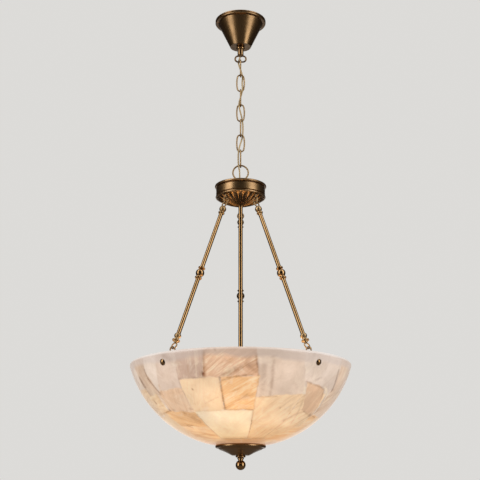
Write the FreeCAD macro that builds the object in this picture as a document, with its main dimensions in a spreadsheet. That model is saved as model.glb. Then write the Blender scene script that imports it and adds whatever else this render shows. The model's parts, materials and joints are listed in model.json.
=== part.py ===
import FreeCAD, Part
import math
import os
import Sketcher
from types import SimpleNamespace

# An alabaster bowl pendant: a ceiling canopy, a chain of seven links with a flex laced through it, a round
# hub with a fluted underside, three turned arms hooked to the bowl's rim, a central stem with three lamps,
# and a bottom cap with a ball finial. Millimetres. The origin is in the ceiling plane, on the pendant's
# axis, with +Z up, so every height here is negative. The side that faces the viewer is -Y.

SIZES = {
    # crossbar: the steel strap that screws to the ceiling box, and what hangs from its middle
    "crossbar_length": 114.0,
    "crossbar_width": 20.0,
    "crossbar_thickness": 2.5,
    "box_screw_spacing": 88.9,
    "box_slot_length": 14.0,
    "box_slot_width": 5.5,
    "ground_screw_offset": 22.0,
    "ground_screw_radius": 2.0,
    "ground_head_radius": 4.2,
    "ground_head_height": 2.4,
    "pipe_radius": 4.8,
    "pipe_bore_radius": 3.1,
    "nut_width": 15.0,
    "nut_thickness": 3.5,
    "fit_clearance": 0.05,
    # canopy: spun cone under a double bead
    "canopy_bead_radius": 61.0,
    "canopy_bead_bulge": 2.0,
    "canopy_bead_height": 4.4,
    "canopy_shoulder_radius": 55.4,
    "canopy_foot_radius": 25.6,
    "canopy_height": 72.0,
    "canopy_wall": 1.2,
    "collar_radius": 10.5,
    "collar_height": 7.0,
    # loop under the canopy
    "neck_radius": 7.5,
    "neck_inside": 10.0,
    "neck_drop": 24.0,
    "neck_chamfer": 2.5,
    "wireway_radius": 2.7,
    "loop_half_width": 13.5,
    "loop_half_height": 8.0,
    "loop_wire_radius": 2.0,
    # chain
    "link_inner_length": 39.9,
    "link_width": 22.0,
    "link_wire_radius": 1.8,
    "link_end_radius": 8.0,
    "link_gap": 0.3,
    # hub: ring, cover, fluted underside
    "hub_ring_radius": 18.5,
    "hub_ring_wire_radius": 1.9,
    "hub_ring_rise": 36.0,
    "hub_boss_radius": 7.5,
    "hub_boss_top": 20.5,
    "hub_boss_round": 2.5,
    "hub_crown_height": 8.0,
    "hub_crown_radius": 24.0,
    "hub_lip_radius": 62.4,
    "hub_lip_thickness": 2.4,
    "hub_band_radius": 59.8,
    "hub_groove_depth": 1.3,
    "hub_groove_height": 1.4,
    "hub_band_height": 27.5,
    "hub_bead_height": 3.0,
    "hub_bead_bulge": 0.9,
    "hub_wall": 1.5,
    "dome_depth": 20.0,
    "dome_tip_radius": 8.5,
    "dome_wall": 5.0,
    "dome_flange_inset": 0.8,
    "dome_flange_thickness": 1.6,
    "flute_depth": 2.0,
    "flute_width_share": 0.92,
    "flute_reach": 54.0,
    "dome_nut_radius": 7.0,
    "dome_nut_height": 3.0,
    "coupling_length": 30.0,
    "coupling_width": 16.0,
    "neck_thread_length": 8.0,
    "stem_thread_gap": 2.0,
    # hooked eyes at both ends of an arm
    "eye_radius": 7.2,
    "eye_wire_radius": 1.6,
    "eye_gap": 0.2,
    "eye_root_radius": 2.4,
    "hub_eye_radius": 51.9,
    "hub_eye_drop": 46.0,
    "hub_eye_collar_radius": 3.6,
    "hub_eye_collar_height": 1.6,
    # arms
    "front_arm_azimuth": 42.0,
    "rod_radius": 4.8,
    "rod_wall": 1.2,
    "spigot_length": 7.0,
    "top_ball_radius": 8.2,
    "top_collar_radius": 7.5,
    "top_collar_height": 3.6,
    "top_collar_offset": 11.4,
    "knop_offset": 198.9,
    "knop_ball_radius": 9.8,
    "knop_collar_radius": 8.0,
    "knop_collar_height": 4.0,
    "knop_collar_offset": 13.4,
    "barrel_offset": 25.4,
    "barrel_radius": 7.6,
    "barrel_half_height": 5.2,
    "foot_disc_radius": 8.8,
    "foot_disc_height": 3.0,
    "foot_disc_offset": 13.4,
    # bowl
    "bowl_drop": 433.5,
    "bowl_rim_radius": 253.4,
    "bowl_depth": 181.0,
    "bowl_wall": 11.0,
    "bowl_seat_radius": 25.0,
    "bowl_lower_radius": 218.7,
    "bowl_turn_angle": 66.5,
    "bowl_rim_drop": 4.5,
    "bowl_hole_radius": 6.5,
    # brackets inside the rim and their bolts
    "bolt_drop": 20.0,
    "bolt_radius": 2.9,
    "bolt_head_radius": 6.3,
    "bolt_head_height": 3.2,
    "bolt_slot_width": 1.5,
    "bolt_slot_depth": 1.3,
    "bolt_hole_radius": 3.4,
    "bolt_nut_width": 10.0,
    "bolt_nut_thickness": 4.5,
    "bolt_tail": 1.2,
    "pad_thickness": 1.0,
    "pad_radius": 7.0,
    "plate_width": 16.0,
    "plate_below": 11.0,
    "plate_above": 15.0,
    "plate_thickness": 2.5,
    "shank_height": 9.5,
    "bracket_eye_inset": 34.3,
    "bracket_eye_rise": 9.5,
    # stem and lamps
    "stem_radius": 5.15,
    "stem_bore_radius": 3.5,
    "cluster_drop": 96.0,
    "cluster_radius": 21.0,
    "cluster_height": 30.0,
    "cluster_cap_radius": 12.0,
    "cluster_cap_height": 6.0,
    "lamp_tilt": 20.0,
    "socket_start": 17.0,
    "socket_neck_radius": 7.0,
    "socket_neck_length": 9.0,
    "socket_shoulder": 3.0,
    "socket_radius": 18.0,
    "socket_length": 42.0,
    "socket_mouth_depth": 28.0,
    "bulb_cap_radius": 13.0,
    "bulb_cap_length": 24.0,
    "bulb_contact_radius": 9.8,
    "bulb_contact_taper": 3.2,
    "bulb_globe_radius": 30.0,
    "bulb_length": 92.0,
    "bulb_wall": 1.0,
    # bottom hardware
    "washer_radius": 20.0,
    "washer_thickness": 2.0,
    "felt_thickness": 1.6,
    "felt_inner_radius": 48.0,
    "felt_outer_radius": 55.5,
    "cap_bead_radius": 57.3,
    "cap_bead_height": 4.2,
    "cap_step_radius": 42.0,
    "cap_step_drop": 7.4,
    "cap_cone_radius": 34.0,
    "cap_cone_drop": 9.0,
    "cap_tip_radius": 18.5,
    "cap_tip_drop": 21.0,
    "cap_wall": 1.5,
    "finial_disc_radius": 11.2,
    "finial_disc_height": 4.4,
    "finial_bead_radius": 7.6,
    "finial_bead_height": 4.4,
    "finial_neck_radius": 5.6,
    "finial_ball_radius": 11.4,
    "finial_ball_drop": 20.9,
    "finial_hole_depth": 12.0,
    # flex laced through the chain
    "flex_radius": 2.0,
    # how far a rolled edge, and an arm's collar, stand out, as a share of their height
    "edge_bulge_share": 0.25,
    "collar_bulge_share": 0.33,
}

LINK_COUNT = 7
FLUTE_COUNT = 24
LAMP_COUNT = 3
FULL_TURN = 360.0


# ---- the sheet of sizes ---------------------------------------------------------------------------------

class Size:
    """A length or an angle: its value, and the sheet formula that gives it."""

    def __init__(self, value, formula):
        self.value = value
        self.formula = formula

    def __add__(self, other):
        return joined(self, "+", other, lambda a, b: a + b)

    def __radd__(self, other):
        return joined(other, "+", self, lambda a, b: a + b)

    def __sub__(self, other):
        return joined(self, "-", other, lambda a, b: a - b)

    def __rsub__(self, other):
        return joined(other, "-", self, lambda a, b: a - b)

    def __mul__(self, other):
        return joined(self, "*", other, lambda a, b: a * b)

    def __rmul__(self, other):
        return joined(other, "*", self, lambda a, b: a * b)

    def __truediv__(self, other):
        return joined(self, "/", other, lambda a, b: a / b)

    def __neg__(self):
        return Size(-self.value, "(0 - %s)" % self.formula)


def as_size(number):
    return number if isinstance(number, Size) else Size(float(number), repr(float(number)))


def joined(left, sign, right, rule):
    left, right = as_size(left), as_size(right)
    return Size(rule(left.value, right.value), "(%s %s %s)" % (left.formula, sign, right.formula))


def root(size):
    return Size(math.sqrt(size.value), "sqrt(%s)" % size.formula)


def cosine(angle):
    return Size(math.cos(math.radians(angle.value)), "cos(%s)" % angle.formula)


def sine(angle):
    return Size(math.sin(math.radians(angle.value)), "sin(%s)" % angle.formula)


def bulge_radius(chord, rise):
    """Radius of an arc that stands the given rise above its chord."""
    return (chord * chord / 4 + rise * rise) / (2 * rise)


doc = FreeCAD.newDocument("alabaster_bowl_pendant")
sheet = doc.addObject("Spreadsheet::Sheet", "sizes")
for row, (alias, number) in enumerate(SIZES.items(), start=1):
    sheet.set("A%d" % row, alias.replace("_", " "))
    sheet.set("B%d" % row, str(number))
    sheet.setAlias("B%d" % row, alias)
doc.recompute()
s = SimpleNamespace(**{alias: Size(float(sheet.get(alias)), "sizes." + alias) for alias in SIZES})


def bind(thing, property_name, size):
    """Give a property its value, tied to the sheet."""
    size = as_size(size)
    thing.setExpression(property_name, size.formula)


# ---- sketches and solids --------------------------------------------------------------------------------

def plane_of(body, role):
    """One of the body's own origin planes."""
    for feature in body.Origin.OriginFeatures:
        if feature.Role == role:
            return feature
    raise ValueError(role)


def add_sketch(body, role, outlines=(), circles=()):
    """A sketch on an origin plane of the body, made of closed outlines and of circles.

    An outline is a list of points (x, y) or (x, y, radius). A radius makes the edge that arrives at the
    point an arc of less than half a turn, which curves left when the radius is above zero. A circle is
    (x, y, radius). A plain 0 holds a point on an axis, and every other size is tied to the sheet.
    """
    sketch = body.newObject("Sketcher::SketchObject", body.Name + "_sketch")
    sketch.AttachmentSupport = (plane_of(body, role), [""])
    sketch.MapMode = "FlatFace"
    for outline in outlines:
        add_outline(sketch, outline)
    for x, y, radius in circles:
        middle = FreeCAD.Vector(as_size(x).value, as_size(y).value, 0)
        edge = sketch.addGeometry(Part.Circle(middle, FreeCAD.Vector(0, 0, 1), radius.value))
        hold_point(sketch, edge, 3, x, y)
        hold_size(sketch, Sketcher.Constraint("Radius", edge, radius.value), radius)
    return sketch


def add_outline(sketch, outline):
    points = [FreeCAD.Vector(as_size(p[0]).value, as_size(p[1]).value, 0) for p in outline]
    edges = []
    for i, start in enumerate(points):
        following = outline[(i + 1) % len(outline)]
        end = points[(i + 1) % len(points)]
        if len(following) == 2:
            edges.append((sketch.addGeometry(Part.LineSegment(start, end)), 1, 2, None))
            continue
        arc, forwards = arc_between(start, end, as_size(following[2]).value)
        first, last = (1, 2) if forwards else (2, 1)
        edges.append((sketch.addGeometry(arc), first, last, following[2]))
    for i, (edge, first, last, radius) in enumerate(edges):
        next_edge, next_first = edges[(i + 1) % len(edges)][:2]
        sketch.addConstraint(Sketcher.Constraint("Coincident", edge, last, next_edge, next_first))
        hold_point(sketch, edge, first, outline[i][0], outline[i][1])
        if radius is not None:
            size = radius if as_size(radius).value > 0 else -radius
            hold_size(sketch, Sketcher.Constraint("Radius", edge, size.value), size)


def arc_between(start, end, radius):
    """The short arc from start to end, and whether the sketch keeps that direction."""
    chord = end - start
    reach = math.sqrt(max(radius * radius - chord.Length * chord.Length / 4, 0.0))
    left = FreeCAD.Vector(-chord.y, chord.x, 0).normalize()
    middle = (start + end) * 0.5 + left * math.copysign(reach, radius)
    circle = Part.Circle(middle, FreeCAD.Vector(0, 0, 1), abs(radius))
    angles = [math.atan2(p.y - middle.y, p.x - middle.x) for p in (start, end)]
    if radius < 0:
        angles.reverse()
    return Part.ArcOfCircle(circle, angles[0], angles[1]), radius > 0


def hold_point(sketch, edge, point, x, y):
    """Tie a point of an edge to its two coordinates."""
    for size, kind, axis in ((x, "DistanceX", -2), (y, "DistanceY", -1)):
        if isinstance(size, Size):
            hold_size(sketch, Sketcher.Constraint(kind, -1, 1, edge, point, size.value), size)
        else:
            sketch.addConstraint(Sketcher.Constraint("PointOnObject", edge, point, axis))


def hold_size(sketch, constraint, size):
    index = sketch.addConstraint(constraint)
    bind(sketch, "Constraints[%d]" % index, size)


def new_body(label):
    body = doc.addObject("PartDesign::Body", label)
    body.Label = label
    return body


def turned(label, outline, z=0):
    """A piece turned about its own Z axis from a half section (radius, height), set at a height."""
    body = new_body(label)
    sketch = add_sketch(body, "XZ_Plane", [outline])
    turn = body.newObject("PartDesign::Revolution", label + "_turn")
    turn.Profile = sketch
    turn.ReferenceAxis = (sketch, ["V_Axis"])
    bind(turn, "Angle", FULL_TURN)
    sketch.Visibility = False
    set_height(body, z)
    return body


def padded(label, outlines, length, circles=(), z=0):
    """A flat piece or prism: closed outlines with round holes, raised by the length."""
    body = new_body(label)
    sketch = add_sketch(body, "XY_Plane", outlines, circles)
    pad = body.newObject("PartDesign::Pad", label + "_pad")
    pad.Profile = sketch
    bind(pad, "Length", length)
    set_height(body, z)
    return body


def bent_wire(label, route, start_x, wire_radius, z=0):
    """A closed ring of round wire along a route in its own XZ plane, begun at (start_x, 0)."""
    body = new_body(label)
    path = add_sketch(body, "XZ_Plane", [route])
    section = add_sketch(body, "XY_Plane", circles=[(start_x, 0, wire_radius)])
    pipe = body.newObject("PartDesign::AdditivePipe", label + "_pipe")
    pipe.Profile = section
    pipe.Spine = (path, [])
    set_height(body, z)
    return body


def cylinder(name, radius, height, z=0):
    tool = doc.addObject("Part::Cylinder", name)
    bind(tool, "Radius", radius)
    bind(tool, "Height", height)
    set_height(tool, z)
    return tool


def torus(name, radius, wire_radius):
    ring = doc.addObject("Part::Torus", name)
    bind(ring, "Radius1", radius)
    bind(ring, "Radius2", wire_radius)
    return ring


def fused(label, shapes):
    whole = doc.addObject("Part::MultiFuse", label)
    whole.Label = label
    whole.Shapes = shapes
    return whole


def cut(label, base, tools):
    """The base less all the tools."""
    tool = tools[0] if len(tools) == 1 else fused(label + "_tools", tools)
    result = doc.addObject("Part::Cut", label)
    result.Label = label
    result.Base = base
    result.Tool = tool
    return result


def group(label, pieces):
    """Like pieces, kept as separate solids of one sub-part."""
    together = doc.addObject("Part::Compound", label)
    together.Label = label
    together.Links = pieces
    return together


def set_height(thing, z):
    if isinstance(z, Size):
        bind(thing, "Placement.Base.z", z)


def hexagon(width):
    """Corners of a hexagon, given its width across flats."""
    side = width / math.sqrt(3)
    return [(side, 0), (side / 2, width / 2), (-(side / 2), width / 2),
            (-side, 0), (-(side / 2), -(width / 2)), (side / 2, -(width / 2))]


# ---- where things are -----------------------------------------------------------------------------------

loop_z = -(s.canopy_height + s.neck_drop + s.loop_half_height)
link_half_length = s.link_inner_length / 2 + s.link_wire_radius
link_half_width = s.link_width / 2 - s.link_wire_radius
link_pitch = s.link_inner_length - s.link_gap
first_link_z = (loop_z - s.loop_half_height + s.loop_wire_radius + s.link_wire_radius + s.link_gap
                - link_half_length)
last_link_z = first_link_z - (LINK_COUNT - 1) * link_pitch
hub_ring_z = (last_link_z - link_half_length + s.link_wire_radius + s.hub_ring_wire_radius + s.link_gap
              - s.hub_ring_radius)
hub_z = hub_ring_z - s.hub_ring_rise
dome_tip_z = hub_z - s.hub_band_height - s.dome_depth
dome_flange_r = s.hub_band_radius - s.dome_flange_inset
dome_slope = (s.dome_depth - s.dome_flange_thickness) / (dome_flange_r - s.dome_tip_radius)
rim_z = hub_z - s.bowl_drop
seat_z = rim_z - s.bowl_depth
cluster_z = rim_z - s.cluster_drop

# the arms stand at these angles about the axis, counted from the viewer's side towards the right
ARMS = {"left": -s.front_arm_azimuth.value, "right": s.front_arm_azimuth.value, "back": 180.0}


def outward(azimuth):
    angle = math.radians(azimuth)
    return FreeCAD.Vector(math.sin(angle), -math.cos(angle), 0)


def sideways(azimuth):
    angle = math.radians(azimuth)
    return FreeCAD.Vector(math.cos(angle), math.sin(angle), 0)


UP = FreeCAD.Vector(0, 0, 1)


def set_frame(thing, origin, x_direction, z_direction):
    """Place a piece by its origin and the directions of its own X and Z axes."""
    y_direction = z_direction.cross(x_direction)
    turn = FreeCAD.Rotation(x_direction, y_direction, z_direction, "ZXY")
    thing.Placement = FreeCAD.Placement(origin, turn)


# ---- ceiling plate and canopy ---------------------------------------------------------------------------

def crossbar():
    half, width = s.crossbar_length / 2, s.crossbar_width / 2
    slot_half, slot_radius = s.box_slot_length / 2, s.box_slot_width / 2
    middle = s.box_screw_spacing / 2
    outline = [(half, -width), (half, width), (-half, width), (-half, -width)]
    slots = []
    for side in (-1, 1):
        low, high = side * middle - slot_half + slot_radius, side * middle + slot_half - slot_radius
        tip_low, tip_high = side * middle - slot_half, side * middle + slot_half
        slots.append([(low, -slot_radius, slot_radius), (high, -slot_radius), (tip_high, 0, slot_radius),
                      (high, slot_radius, slot_radius), (low, slot_radius), (tip_low, 0, slot_radius)])
    holes = [(0, 0, s.pipe_radius + s.fit_clearance),
             (s.ground_screw_offset, 0, s.ground_screw_radius + s.fit_clearance)]
    return padded("crossbar", [outline] + slots, s.crossbar_thickness, holes, -s.crossbar_thickness)


def ground_screw():
    head = s.ground_head_height
    screw = turned("ground_screw", [
        (0, 0), (s.ground_screw_radius, 0), (s.ground_screw_radius, -s.crossbar_thickness),
        (s.ground_head_radius, -s.crossbar_thickness),
        (s.ground_head_radius, -s.crossbar_thickness - head), (0, -s.crossbar_thickness - head)])
    bind(screw, "Placement.Base.x", s.ground_screw_offset)
    return screw


def ceiling_pipe():
    foot = -(s.canopy_height - 2 * s.canopy_wall)
    return turned("ceiling_pipe", [
        (s.pipe_bore_radius, 0), (s.pipe_radius, 0), (s.pipe_radius, foot), (s.pipe_bore_radius, foot)])


def hex_nut(label, width, thickness, bore, z):
    return padded(label, [hexagon(width)], thickness, [(0, 0, bore)], z)


def canopy():
    top, wall = s.canopy_bead_radius, s.canopy_wall
    shelf = 2 * s.canopy_bead_height
    bead = bulge_radius(s.canopy_bead_height, s.canopy_bead_bulge)
    hole = s.neck_radius + s.fit_clearance
    return turned("canopy", [
        (top - wall, 0), (top, 0), (top, -s.canopy_bead_height, -bead), (top, -shelf, -bead),
        (s.canopy_shoulder_radius, -shelf), (s.canopy_foot_radius, -s.canopy_height),
        (hole, -s.canopy_height), (hole, wall - s.canopy_height),
        (s.canopy_foot_radius - wall, wall - s.canopy_height),
        (s.canopy_shoulder_radius - wall, wall - shelf), (top - wall, wall - shelf)])


def collar_nut():
    """Round nut on the loop's neck that holds the canopy up; its edge is rolled."""
    bore, radius = s.neck_radius + s.fit_clearance, s.collar_radius
    bulge = s.collar_height * s.edge_bulge_share
    roll = bulge_radius(s.collar_height, bulge)
    edge = radius - bulge
    return turned("collar_nut", [
        (bore, 0), (edge, 0), (edge, -s.collar_height, -roll), (bore, -s.collar_height)], -s.canopy_height)


def canopy_loop():
    top = s.neck_inside - s.canopy_height
    foot = -(s.canopy_height + s.neck_drop)
    neck = turned("canopy_loop_neck", [
        (0, top), (s.neck_radius, top), (s.neck_radius, foot + s.neck_chamfer),
        (s.neck_radius - s.neck_chamfer, foot - s.loop_wire_radius / 2), (0, foot - s.loop_wire_radius / 2)])
    half, bend = s.loop_half_width, s.loop_half_height
    straight = half - bend
    ring = bent_wire("canopy_loop_ring", [
        (half, 0, bend), (straight, bend, bend), (-straight, bend), (-half, 0, bend),
        (-straight, -bend, bend), (straight, -bend)], half, s.loop_wire_radius, loop_z)
    wireway = cylinder("canopy_loop_wireway", s.wireway_radius, s.neck_inside + s.neck_drop + s.neck_radius,
                       foot - s.loop_wire_radius * 2)
    socket = cylinder("canopy_loop_socket", s.pipe_radius + s.fit_clearance, s.neck_inside,
                      -(s.canopy_height - 2 * s.canopy_wall))
    return cut("canopy_loop", fused("canopy_loop_casting", [neck, ring]), [wireway, socket])


# ---- chain ----------------------------------------------------------------------------------------------

def chain_link(number):
    """A bowed oval: two tight end arcs joined by two long side arcs that are tangent to them."""
    end = s.link_end_radius
    reach = link_half_length - end
    spread = link_half_width - end
    side_centre = (reach * reach - spread * spread) / (2 * spread)
    side = link_half_width + side_centre
    span = root(side_centre * side_centre + reach * reach)
    x, z = side * side_centre / span - side_centre, side * reach / span
    link = bent_wire("chain_link_%d" % number, [
        (link_half_width, 0, side), (x, z, side), (-x, z, end), (-x, -z, side), (x, -z, end)],
        link_half_width, s.link_wire_radius, first_link_z - (number - 1) * link_pitch)
    if number % 2:
        link.Placement.Rotation = FreeCAD.Rotation(UP, 90)
    return link


# ---- hub ------------------------------------------------------------------------------------------------

def hub_loop():
    """Ring on a bored boss, with a threaded neck that goes down through the cover."""
    ring = torus("hub_loop_ring", s.hub_ring_radius, s.hub_ring_wire_radius)
    ring.Placement.Rotation = FreeCAD.Rotation(FreeCAD.Vector(1, 0, 0), 90)
    set_height(ring, hub_ring_z)
    seat = s.hub_crown_height
    top = s.hub_boss_top
    round_off = s.hub_boss_round
    neck_foot = -s.neck_thread_length
    boss = turned("hub_loop_boss", [
        (0, neck_foot), (s.stem_radius, neck_foot), (s.stem_radius, seat), (s.hub_boss_radius, seat),
        (s.hub_boss_radius, top - round_off), (s.hub_boss_radius - round_off, top, round_off), (0, top)],
        hub_z)
    wireway = cylinder("hub_loop_wireway", s.wireway_radius, s.hub_ring_rise, hub_z + neck_foot)
    return cut("hub_loop", fused("hub_loop_casting", [ring, boss]), [wireway])


def hub_cover():
    wall, lip, band = s.hub_wall, s.hub_lip_radius, s.hub_band_radius
    foot = -s.hub_band_height
    hole = s.stem_radius + s.fit_clearance
    groove = s.hub_lip_thickness + s.hub_groove_height
    bead = bulge_radius(s.hub_bead_height, s.hub_bead_bulge)
    return turned("hub_cover", [
        (hole, s.hub_crown_height), (s.hub_crown_radius, s.hub_crown_height),
        (lip - s.hub_lip_thickness / 2, 0),
        (lip - s.hub_lip_thickness / 2, -s.hub_lip_thickness, -s.hub_lip_thickness / 2 - s.fit_clearance),
        (band - s.hub_groove_depth, -s.hub_lip_thickness), (band - s.hub_groove_depth, -groove),
        (band, -groove), (band, foot + 2 * s.hub_bead_height),
        (band, foot + s.hub_bead_height, -bead), (band, foot, -bead),
        (band - wall, foot), (band - wall, -groove - wall),
        (s.hub_crown_radius, s.hub_crown_height - wall), (hole, s.hub_crown_height - wall)], hub_z)


def fluted_dome():
    """Shallow cone under the hub. Its flutes are cone-shaped cuts that narrow towards the tip."""
    spigot = s.hub_band_radius - s.hub_wall - s.fit_clearance
    tip, depth = s.dome_tip_radius, s.dome_depth
    bore = s.stem_radius + s.fit_clearance
    blank = turned("fluted_dome_blank", [
        (bore, 0), (tip, 0), (dome_flange_r, depth - s.dome_flange_thickness), (dome_flange_r, depth),
        (spigot, depth), (spigot, depth + s.dome_wall), (tip * 2, s.dome_wall), (bore, s.dome_wall)],
        dome_tip_z)
    # the point where the cone's sides would meet, below the tip
    apex_z = dome_tip_z - dome_slope * tip
    slant = math.atan(dome_slope.value)
    width = 2 * math.pi / FLUTE_COUNT * s.flute_reach * s.flute_width_share
    radius = bulge_radius(width, s.flute_depth)
    offset = radius - s.flute_depth
    along = s.flute_reach.value / math.cos(slant)
    tilt = slant - math.atan2(offset.value, along)
    length = root(as_size(along * along) + offset * offset)
    cutters = []
    for number in range(FLUTE_COUNT):
        cutter = doc.addObject("Part::Cone", "flute_cutter_%d" % (number + 1))
        bind(cutter, "Radius1", 0)
        bind(cutter, "Radius2", radius)
        bind(cutter, "Height", length)
        direction = outward(FULL_TURN / FLUTE_COUNT * number)
        axis = direction * math.cos(tilt) + UP * math.sin(tilt)
        set_frame(cutter, UP * apex_z.value, sideways(FULL_TURN / FLUTE_COUNT * number), axis)
        cutters.append(cutter)
    for name, azimuth in ARMS.items():
        hole = cylinder("hub_eye_hole_" + name, s.eye_wire_radius + s.fit_clearance, s.hub_eye_drop)
        hole.Placement.Base = outward(azimuth) * s.hub_eye_radius.value + UP * (hub_z - s.hub_eye_drop).value
        cutters.append(hole)
    return cut("fluted_dome", blank, cutters)


def dome_nut():
    bore = s.stem_radius + s.fit_clearance
    foot = -s.dome_nut_height
    return turned("dome_nut", [
        (bore, 0), (s.dome_nut_radius, 0), (s.dome_nut_radius, foot), (bore, foot)], dome_tip_z)


def hub_coupling():
    """Hexagonal coupling inside the hub that joins the loop's neck to the stem."""
    return hex_nut("hub_coupling", s.coupling_width, s.coupling_length, s.stem_radius + s.fit_clearance,
                   hub_z + s.hub_crown_height - s.hub_wall - s.coupling_length)


def hub_eyes():
    """Three eyes screwed up into the dome, each a ring on a shank with a small collar."""
    surface = (s.hub_eye_drop - s.hub_band_height - s.dome_flange_thickness
               - (dome_flange_r - s.hub_eye_radius) * dome_slope)
    eyes = []
    for name, azimuth in ARMS.items():
        ring = torus("hub_eye_ring_" + name, s.eye_radius, s.eye_wire_radius)
        ring.Placement.Rotation = FreeCAD.Rotation(FreeCAD.Vector(1, 0, 0), 90)
        shank = turned("hub_eye_shank_" + name, [
            (0, s.eye_radius), (s.eye_wire_radius, s.eye_radius),
            (s.eye_wire_radius, surface - s.hub_eye_collar_height),
            (s.hub_eye_collar_radius, surface - s.hub_eye_collar_height),
            (s.hub_eye_collar_radius, surface - s.hub_eye_collar_height / 2),
            (s.eye_wire_radius, surface), (s.eye_wire_radius, surface + s.dome_wall),
            (0, surface + s.dome_wall)])
        eye = fused("hub_eye_" + name, [ring, shank])
        origin = outward(azimuth) * s.hub_eye_radius.value + UP * (hub_z - s.hub_eye_drop).value
        set_frame(eye, origin, outward(azimuth), UP)
        eyes.append(eye)
    return group("hub_eyes", eyes)


# ---- bowl -----------------------------------------------------------------------------------------------

# The outside runs from the flat seat along a lower arc to the turn, and from there along an upper arc to
# the rim. The upper arc is tangent to the lower one at the turn, which fixes its radius.
turn_cos, turn_sin = cosine(s.bowl_turn_angle), sine(s.bowl_turn_angle)
turn_r = s.bowl_seat_radius + s.bowl_lower_radius * turn_cos
turn_z = s.bowl_lower_radius * (1 - turn_sin)
rim_height = s.bowl_depth - s.bowl_rim_drop
rise, run = rim_height - turn_z, s.bowl_rim_radius - turn_r
upper_radius = (run * run + rise * rise) / (2 * (rise * turn_sin - run * turn_cos))
upper_r = turn_r - upper_radius * turn_cos
upper_z = turn_z + upper_radius * turn_sin


def wall_point(height, depth):
    """Radius and height of the wall's outside at a height above the seat, and of the point that lies the
    given depth inside it, with the cosine and sine of the wall's lean there."""
    sin_lean = (upper_z - height) / upper_radius
    cos_lean = root(1 - sin_lean * sin_lean)
    reach = upper_radius - depth
    return upper_r + reach * cos_lean, upper_z - reach * sin_lean, cos_lean, sin_lean


# a flat round pad on the hollow side of the wall stands off by the wall's rise under its edge
wall_r = wall_point(s.bowl_depth - s.bolt_drop, s.bowl_wall)[0]
pad_back = -(s.pad_radius * s.pad_radius / (2 * wall_r) + s.fit_clearance)
pad_front = pad_back - s.pad_thickness
plate_front = pad_front - s.plate_thickness


def bowl():
    wall = s.bowl_wall
    rim_r, rim_h = wall_point(rim_height, wall)[:2]
    lower = s.bowl_lower_radius - wall
    blank = turned("bowl_blank", [
        (s.bowl_hole_radius, 0), (s.bowl_seat_radius, 0), (turn_r, turn_z, s.bowl_lower_radius),
        (s.bowl_rim_radius, rim_height, upper_radius),
        ((s.bowl_rim_radius + rim_r - rim_height + rim_h) / 2,
         (rim_height + rim_h + s.bowl_rim_radius - rim_r) / 2, wall / 2),
        (rim_r, rim_h, wall / 2),
        (turn_r - wall * turn_cos, turn_z + wall * turn_sin, wall - upper_radius),
        (s.bowl_seat_radius, wall, -lower), (s.bowl_hole_radius, wall)], seat_z)
    # each hole's drill runs well past both faces of the leaning wall
    past_wall = 2 * wall
    tools = []
    for name, azimuth in ARMS.items():
        tool = cylinder("bolt_hole_" + name, s.bolt_hole_radius, past_wall + past_wall)
        place_on_wall(tool, azimuth, -past_wall, turned_out=True)
        tools.append(tool)
    return cut("bowl", blank, tools)


def place_on_wall(thing, azimuth, outwards, turned_out=False):
    """Place a piece at the bolt's point of the inner wall. Its X axis points straight out through the wall
    and its Z axis up along it, or, turned out, its Z axis points out through the wall."""
    radius, height, cos_lean, sin_lean = wall_point(s.bowl_depth - s.bolt_drop, s.bowl_wall)
    out = outward(azimuth) * cos_lean.value - UP * sin_lean.value
    up = outward(azimuth) * sin_lean.value + UP * cos_lean.value
    origin = outward(azimuth) * radius.value + UP * (seat_z + height).value + out * as_size(outwards).value
    if turned_out:
        set_frame(thing, origin, sideways(azimuth), out)
    else:
        set_frame(thing, origin, out, up)


def bracket_eye_offset():
    """The bracket eye's centre from the bolt's point of the inner wall, in the bracket's own X and Z."""
    radius, height, cos_lean, sin_lean = wall_point(s.bowl_depth - s.bolt_drop, s.bowl_wall)
    across = s.bowl_rim_radius - s.bracket_eye_inset - radius
    up = s.bowl_depth + s.bracket_eye_rise - height
    return across * cos_lean - up * sin_lean, across * sin_lean + up * cos_lean


def bracket(name, azimuth):
    """Plate against the inner wall, with an eye on a leaning shank near its top."""
    label = "bracket_" + name
    back, front = pad_front, plate_front
    x, z = bracket_eye_offset()
    plate = new_body(label + "_plate")
    half, round_end = s.plate_width / 2, s.plate_width / 2
    sketch = add_sketch(plate, "YZ_Plane", [[
        (half, round_end - s.plate_below, round_end), (half, s.plate_above - round_end),
        (0, s.plate_above, round_end), (-half, s.plate_above - round_end, round_end),
        (-half, round_end - s.plate_below), (0, -s.plate_below, round_end)]],
        [(0, 0, s.bolt_radius + s.fit_clearance)])
    pad = plate.newObject("PartDesign::Pad", label + "_pad")
    pad.Profile = sketch
    bind(pad, "Length", s.plate_thickness)
    bind(plate, "Placement.Base.x", front)
    ring = torus(label + "_ring", s.eye_radius, s.eye_wire_radius)
    ring.Placement.Rotation = FreeCAD.Rotation(FreeCAD.Vector(1, 0, 0), 90)
    bind(ring, "Placement.Base.x", x)
    bind(ring, "Placement.Base.z", z)
    start = FreeCAD.Vector((back + front).value / 2, 0, s.shank_height.value)
    towards = FreeCAD.Vector(x.value, 0, z.value) - start
    shank = doc.addObject("Part::Cylinder", label + "_shank")
    bind(shank, "Radius", s.eye_wire_radius)
    run_x, run_z = x - (back + front) / 2, z - s.shank_height
    bind(shank, "Height", root(run_x * run_x + run_z * run_z) - s.eye_radius)
    set_frame(shank, start, FreeCAD.Vector(0, 1, 0), towards.normalize())
    whole = fused(label, [plate, shank, ring])
    place_on_wall(whole, azimuth, 0)
    return whole


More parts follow.
